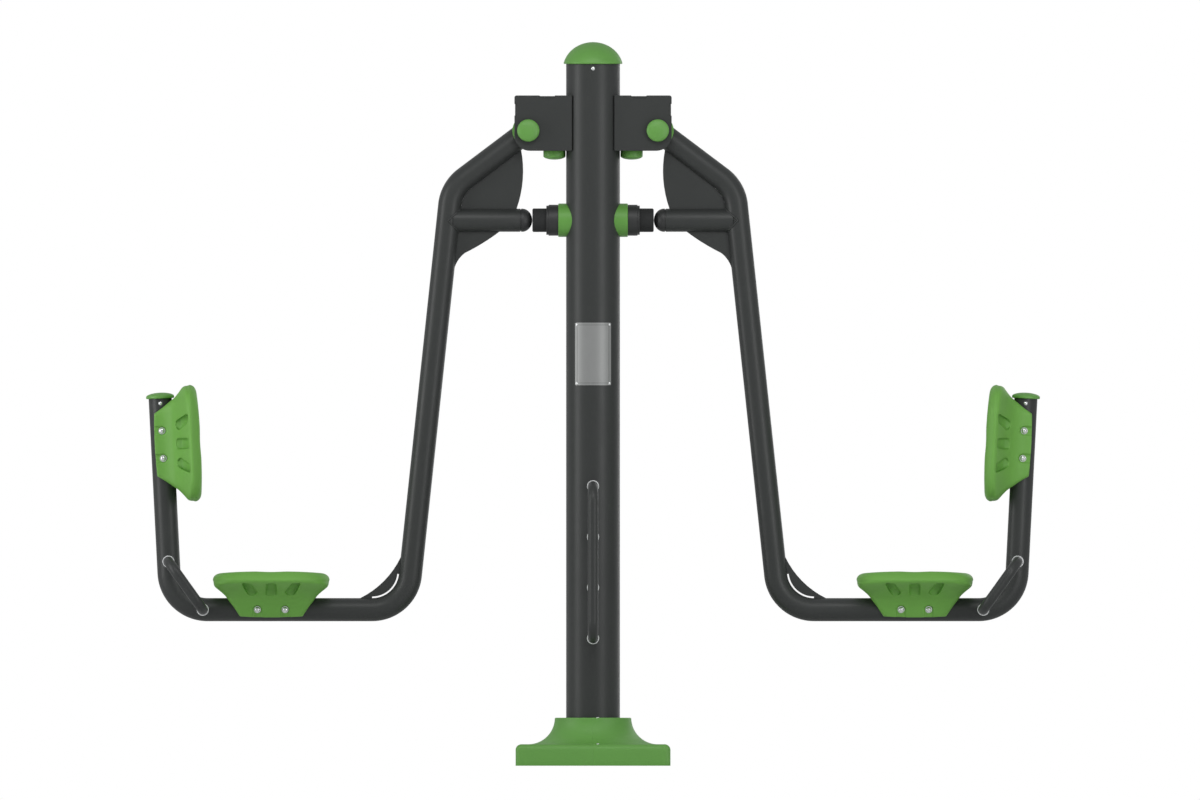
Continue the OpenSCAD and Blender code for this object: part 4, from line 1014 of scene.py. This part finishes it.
class STATION_OT_screws(bpy.types.Operator):
    """Screws, rivets and seat bolts, placed by one tree"""
    bl_idname = "station.screws"
    bl_label = "Screws and rivets"

    def execute(self, context):
        fit_gap, lap_t, half_lap = 0.3, 3, 9
        neck_y = POST_R + 2 * fit_gap + lap_t + half_lap
        border_y = COVER_NECK + COVER_SWEEP + half_lap
        cover = [((-t * 12.6, t * y, z), (0, 0, 1)) for t in (-1, 1)
                 for y, z in ((neck_y, COVER_H + COVER_SWEEP), (border_y, COVER_H))]
        cap = [((0, t * POST_R, POST_TOP - CAP_SCREW_DROP), (0, t, 0)) for t in (-1, 1)]
        both = joined("cover_screw_heads", [screws("cover", cover, (4, 2), (1.3, 1.2), (4.6, 0.5)),
                                            screws("cap", cap, *CAP_SCREW)])
        piece("cover_screw_heads", both, "bright_steel", "post", "cover_screws")
        in_from_edge = 5
        turn = (PLATE_W / 2 - in_from_edge) / POST_R
        spots = []
        for s in (-1, 1):
            for z in (PLATE_Z + in_from_edge, PLATE_Z + PLATE_H - in_from_edge):
                way = Vector((math.sin(s * turn), -math.cos(turn), 0))
                spots.append((way * (POST_R + PLATE_T) + Vector((0, 0, z)), way))
        rivets = screws("rivets", spots, (3, 1.5), (0.6, 0.7), (3.2, 0.2))
        # The rivet heads take the steel lightened with a painted sheen
        piece("plate_rivet_heads", rivets, "bright_steel", "post", "plate_rivets",
              shine="sheen_painted_steel")
        for side, s in SIDES.items():
            spots = []
            for place in saddle_places().values():
                for x in (-BOLT_PITCH / 2, BOLT_PITCH / 2):
                    for t in (-1, 1):
                        spot = mirror(s) @ place @ Vector((x, t * BOLT_SEAT, 0))
                        spots.append((spot, (0, t, 0)))
            bolts = screws("bolts", spots, (7.4, 5), (3.4, 3), (8.8, 1.5), 3)
            piece(f"{side}_seat_bolt_heads", bolts, "bright_steel", f"{side}_arm",
                  f"{side}_seat_bolts")
            x, z = tube_end()
            lean = math.radians(BACK_LEAN)
            spot = (s * (x - TUBE_SCREW_DROP * math.sin(lean)), -TUBE_R,
                    z - TUBE_SCREW_DROP * math.cos(lean))
            screw = screws("screw", [(spot, (0, -1, 0))], *CAP_SCREW)
            piece(f"{side}_tube_cap_screw_head", screw, "bright_steel", f"{side}_arm",
                  f"{side}_tube_cap_screw")
        return {"FINISHED"}


def joined(name, meshes):
    """One mesh of several."""
    shell = bmesh.new()
    for data in meshes:
        shell.from_mesh(data)
        bpy.data.meshes.remove(data)
    data = bpy.data.meshes.new(name)
    shell.to_mesh(data)
    shell.free()
    smooth_by_angle(data, 40)
    return data


class STATION_OT_caps(bpy.types.Operator):
    """Bolt caps, tube caps, housing covers and collar rings"""
    bl_idname = "station.caps"
    bl_label = "Caps and rings"

    def execute(self, context):
        bolt_cap = ([(26.5, 0), (28.7, 0), (29, 0.4)] + arc(29, 9.4, 13.5, 0, 90, 24)
                    + arc(26.5, 6.9, 13.5, 90, 0, 12))
        rim, skirt, wall = TUBE_R + 6.3, TUBE_R - TUBE_WALL - 0.05, 3
        tube_cap = ([(skirt - wall, -25), (skirt, -25), (skirt, 0), (rim - 3, 0), (rim - 1, 0.5),
                     (rim, 1.6)]
                    + arc(rim, 10.4, 5, 0, 90, 24) + [(0, 12.4), (skirt - wall, 5)])
        collar = [(13.4, -7), (15.7, -7), (15.7, 1.8), (15.1, 2.4), (13.4, 2.4)]
        ring = [(20.5, 0), (41.4, 0), (41.4, 3.2), (40.6, 4), (20.5, 4)]
        both_ways = (-1, 1)
        places = [facing(0, t * POST_R, FOOT_Z + i * FOOT_PITCH, (0, t, 0))
                  for t in both_ways for i in range(FOOT_ROWS)]
        # The foot bars' collar rings take the steel lightened with a painted sheen
        turned_piece("foot_collar_rings", collar, places, "bright_steel", "post",
                     "foot_bar_collars", 64, "sheen_painted_steel")
        lean = math.radians(BACK_LEAN)
        x, z = tube_end()
        for side, s in SIDES.items():
            arm = f"{side}_arm"
            places = [facing(s * end.x, t * TUBE_R, end.y, (0, t, 0))
                      for t in both_ways for end in grip_ends()]
            # The grips' collar rings take the steel lightened with a painted sheen
            turned_piece(f"{side}_grip_collar_rings", collar, places, "bright_steel", arm,
                         f"{side}_grip_collars", 64, "sheen_painted_steel")
            places = [facing(s * PIVOT[0], t * BRACKET_Y, PIVOT[1], (0, t, 0)) for t in both_ways]
            places.append(facing(s * STOP_X, 0, BRACKET_BOTTOM_Z, (0, 0, -1)))
            turned_piece(f"{side}_bolt_domes", bolt_cap, places, "green_cap", "post",
                         f"{side}_bolt_caps")
            places = [facing(s * x, 0, z, (s * math.sin(lean), 0, math.cos(lean)))]
            turned_piece(f"{side}_tube_dome", tube_cap, places, "green_cap", arm,
                         f"{side}_tube_cap")
            places = [facing(s * PIVOT[0], t * HOUSING_HALF, PIVOT[1], (0, t, 0))
                      for t in both_ways]
            turned_piece(f"{side}_housing_rings", ring, places, "green_coat", arm,
                         f"{side}_housing_covers")
        return {"FINISHED"}


class STATION_OT_buffers(bpy.types.Operator):
    """Resting buffers on the post and the plugs that meet them"""
    bl_idname = "station.buffers"
    bl_label = "Buffers and plugs"

    def execute(self, context):
        base_x = POST_R + BUFFER_BASE_LEN
        base = [(0, 40), (43.5, 40), (43.5, base_x - 1.2), (42.3, base_x), (0, base_x)]
        cup = [(30.8, CUP_LEN), (30.8, 5), (0, 5), (0, 0), (39.5, 0), (40.3, 0.8), (40.3, 24.4),
               (39.5, 25.2), (38, 25.2), (38, CUP_LEN - 0.8), (37.2, CUP_LEN)]
        pad_r, edge, pad_end = 30.7, 4, CUP_LEN + PAD_PROUD
        turns = [math.radians(a) for a in range(15, 91, 15)]
        rubber = ([(0, 5), (pad_r, 5), (pad_r, pad_end - edge)]
                  + [(pad_r - edge + edge * math.cos(t), pad_end - edge + edge * math.sin(t))
                     for t in turns] + [(0, pad_end)])
        groove = TUBE_R - 1.8
        plug = ([(0, -20), (27, -20), (27, 0), (groove, 0), (groove, 1.7), (TUBE_R, 2.2)]
                + arc(TUBE_R, PLUG_DOME, PLUG_NECK, 0, 90, 30))
        for side, s in SIDES.items():
            for name, profile, x, slot, way, body, node in (
                    ("buffer_saddle", base, 0, "green_coat", 1, "post", "buffer_base"),
                    ("buffer_socket", cup, base_x, "black_plastic", 1, "post", "buffer_cup"),
                    ("buffer_pad", rubber, base_x, "rubber", 1, "post", "buffer_rubber"),
                    ("stub_nose", plug, stub_end(), "black_plastic", -1, f"{side}_arm",
                     "stub_plug")):
                place = facing(s * x, 0, BUFFER_Z, (s * way, 0, 0))
                turned_piece(f"{side}_{name}", profile, [place], slot, body, f"{side}_{node}")
        return {"FINISHED"}


class STATION_OT_welds(bpy.types.Operator):
    """Weld beads along the seams"""
    bl_idname = "station.welds"
    bl_label = "Weld beads"

    def execute(self, context):
        for side, s in SIDES.items():
            u = (Vector(HEEL) - Vector(KNEE)).normalized()
            seam = []
            for k in range(73):
                t = 2 * math.pi * k / 72
                y, z = TUBE_R * math.cos(t), BUFFER_Z + TUBE_R * math.sin(t)
                on_axis = KNEE[0] + (KNEE[1] - z) * u.x / -u.y
                seam.append((s * (on_axis - TUBE_R * abs(math.sin(t)) / abs(u.y)), y, z))
            piece(f"{side}_stub_weld", welds("weld", [seam]), "powder_coat", f"{side}_arm")
        return {"FINISHED"}


def seen_share(tree):
    """How much of the room's white a ray meets: all of it from the camera and through glass, and
    a third in a reflection, as round a dark flag."""
    path = add(tree, "ShaderNodeLightPath").outputs
    mirrored = maths(tree, "MAXIMUM", maths(tree, "MULTIPLY", path["Is Glossy Ray"], 0.33),
                     path["Is Transmission Ray"])
    return maths(tree, "MAXIMUM", path["Is Camera Ray"], mirrored)


class STATION_OT_stage(bpy.types.Operator):
    """Floor, studio lights and the camera"""
    bl_idname = "station.stage"
    bl_label = "Studio"

    def execute(self, context):
        data = bpy.data.meshes.new("floor")
        reach = 30
        corners = [(-reach, -reach, 0), (reach, -reach, 0), (reach, reach, 0), (-reach, reach, 0)]
        data.from_pydata(corners, [], [(0, 1, 2, 3)])
        floor = loose("floor", data)
        material = bpy.data.materials.new("white studio floor")
        material.use_nodes = True
        tree = material.node_tree
        tree.nodes.clear()
        paint = add(tree, "ShaderNodeBsdfDiffuse", {"Color": (0.8, 0.8, 0.8, 1)})
        # Seen from above, the floor is pale round the object, where it keeps the shadow, and runs
        # out into the room's white before it reaches the lamps
        place = add(tree, "ShaderNodeTexCoord").outputs["Object"]
        away = add(tree, "ShaderNodeVectorMath", links={0: place}, operation="LENGTH")
        fade = add(tree, "ShaderNodeMapRange", {"From Min": 1.4, "From Max": 3.6},
                   {"Value": away.outputs["Value"]})
        glow = add(tree, "ShaderNodeEmission", {"Color": (1, 1, 1, 1), "Strength": 0.45})
        shade = add(tree, "ShaderNodeBsdfDiffuse", {"Color": (0.5, 0.5, 0.5, 1)})
        near = add(tree, "ShaderNodeAddShader", links={0: shade.outputs[0], 1: glow.outputs[0]})
        far = add(tree, "ShaderNodeEmission", {"Color": (1, 1, 1, 1), "Strength": 1.0})
        pale = add(tree, "ShaderNodeMixShader", links={0: fade.outputs["Result"],
                                                       1: near.outputs[0], 2: far.outputs[0]})
        both = add(tree, "ShaderNodeMixShader",
                   links={0: seen_share(tree), 1: paint.outputs[0], 2: pale.outputs[0]})
        add(tree, "ShaderNodeOutputMaterial", links={"Surface": both.outputs[0]})
        data.materials.append(material)

        world = bpy.data.worlds.new("white studio")
        context.scene.world = world
        world.use_nodes = True
        tree = world.node_tree
        tree.nodes.clear()
        fill = add(tree, "ShaderNodeBackground", {"Color": (0.95, 0.98, 1, 1), "Strength": 0.31})
        white = add(tree, "ShaderNodeBackground", {"Color": (1, 1, 1, 1), "Strength": 1.0})
        mix = add(tree, "ShaderNodeMixShader", links={0: seen_share(tree), 1: fill.outputs[0],
                                                      2: white.outputs[0]})
        add(tree, "ShaderNodeOutputWorld", links={"Surface": mix.outputs[0]})

        # Each lamp has its place, its width and height in metres, and its watts
        target = Vector((0, 0, 0.95))
        for name, spot, size, watts in (
                ("softbox left", (-4.0, -1.45, 1.5), (1.25, 3.2), 54),
                ("softbox right rear", (2.2, 3.6, 1.5), (0.9, 3.2), 14),
                ("overhead", (0.0, -3.3, 3.9), (3.6, 1.2), 52),
                ("front right", (3.0, -3.6, 1.4), (1.3, 2.8), 44)):
            lamp = bpy.data.lights.new(name, "AREA")
            lamp.shape, lamp.size, lamp.size_y, lamp.energy = "RECTANGLE", size[0], size[1], watts
            thing = loose(name, lamp)
            thing.location = spot
            thing.rotation_euler = (target - Vector(spot)).to_track_quat("-Z", "Y").to_euler()

        lens = bpy.data.cameras.new("camera")
        lens.type, lens.ortho_scale = "ORTHO", 3.1224
        camera = loose("camera", lens)
        camera.location = (0.0181, -6, 0.9517)
        camera.rotation_euler = (math.pi / 2, 0, 0)
        context.scene.camera = camera
        context.scene.view_settings.view_transform = "Standard"
        return {"FINISHED"}


class STATION_PT_panel(bpy.types.Panel):
    """Sizes, colours and building steps of the station"""
    bl_idname = "STATION_PT_panel"
    bl_label = "Outdoor fitness station"
    bl_space_type = "VIEW_3D"
    bl_region_type = "UI"
    bl_category = "Station"

    def draw(self, context):
        for group in (context.scene.station_sizes, context.scene.station_colours):
            for key in group.bl_rna.properties.keys():
                if key not in ("rna_type", "name"):
                    self.layout.prop(group, key)
        for step in STEPS:
            self.layout.operator(step.bl_idname)


STEPS = (STATION_OT_coats, STATION_OT_plates, STATION_OT_post, STATION_OT_base_cover,
         STATION_OT_arm_tubes, STATION_OT_bars, STATION_OT_saddles, STATION_OT_screws,
         STATION_OT_caps, STATION_OT_buffers, STATION_OT_welds, STATION_OT_stage)
CLASSES = (StationSizes, StationColours) + STEPS + (STATION_PT_panel,)


def register():
    for kind in CLASSES:
        bpy.utils.register_class(kind)
    bpy.types.Scene.station_sizes = PointerProperty(type=StationSizes)
    bpy.types.Scene.station_colours = PointerProperty(type=StationColours)


def unregister():
    del bpy.types.Scene.station_colours
    del bpy.types.Scene.station_sizes
    for kind in reversed(CLASSES):
        bpy.utils.unregister_class(kind)


def main():
    register()
    for step in STEPS:
        getattr(bpy.ops.station, step.bl_idname.split(".")[1])()


if __name__ == "__main__":
    main()
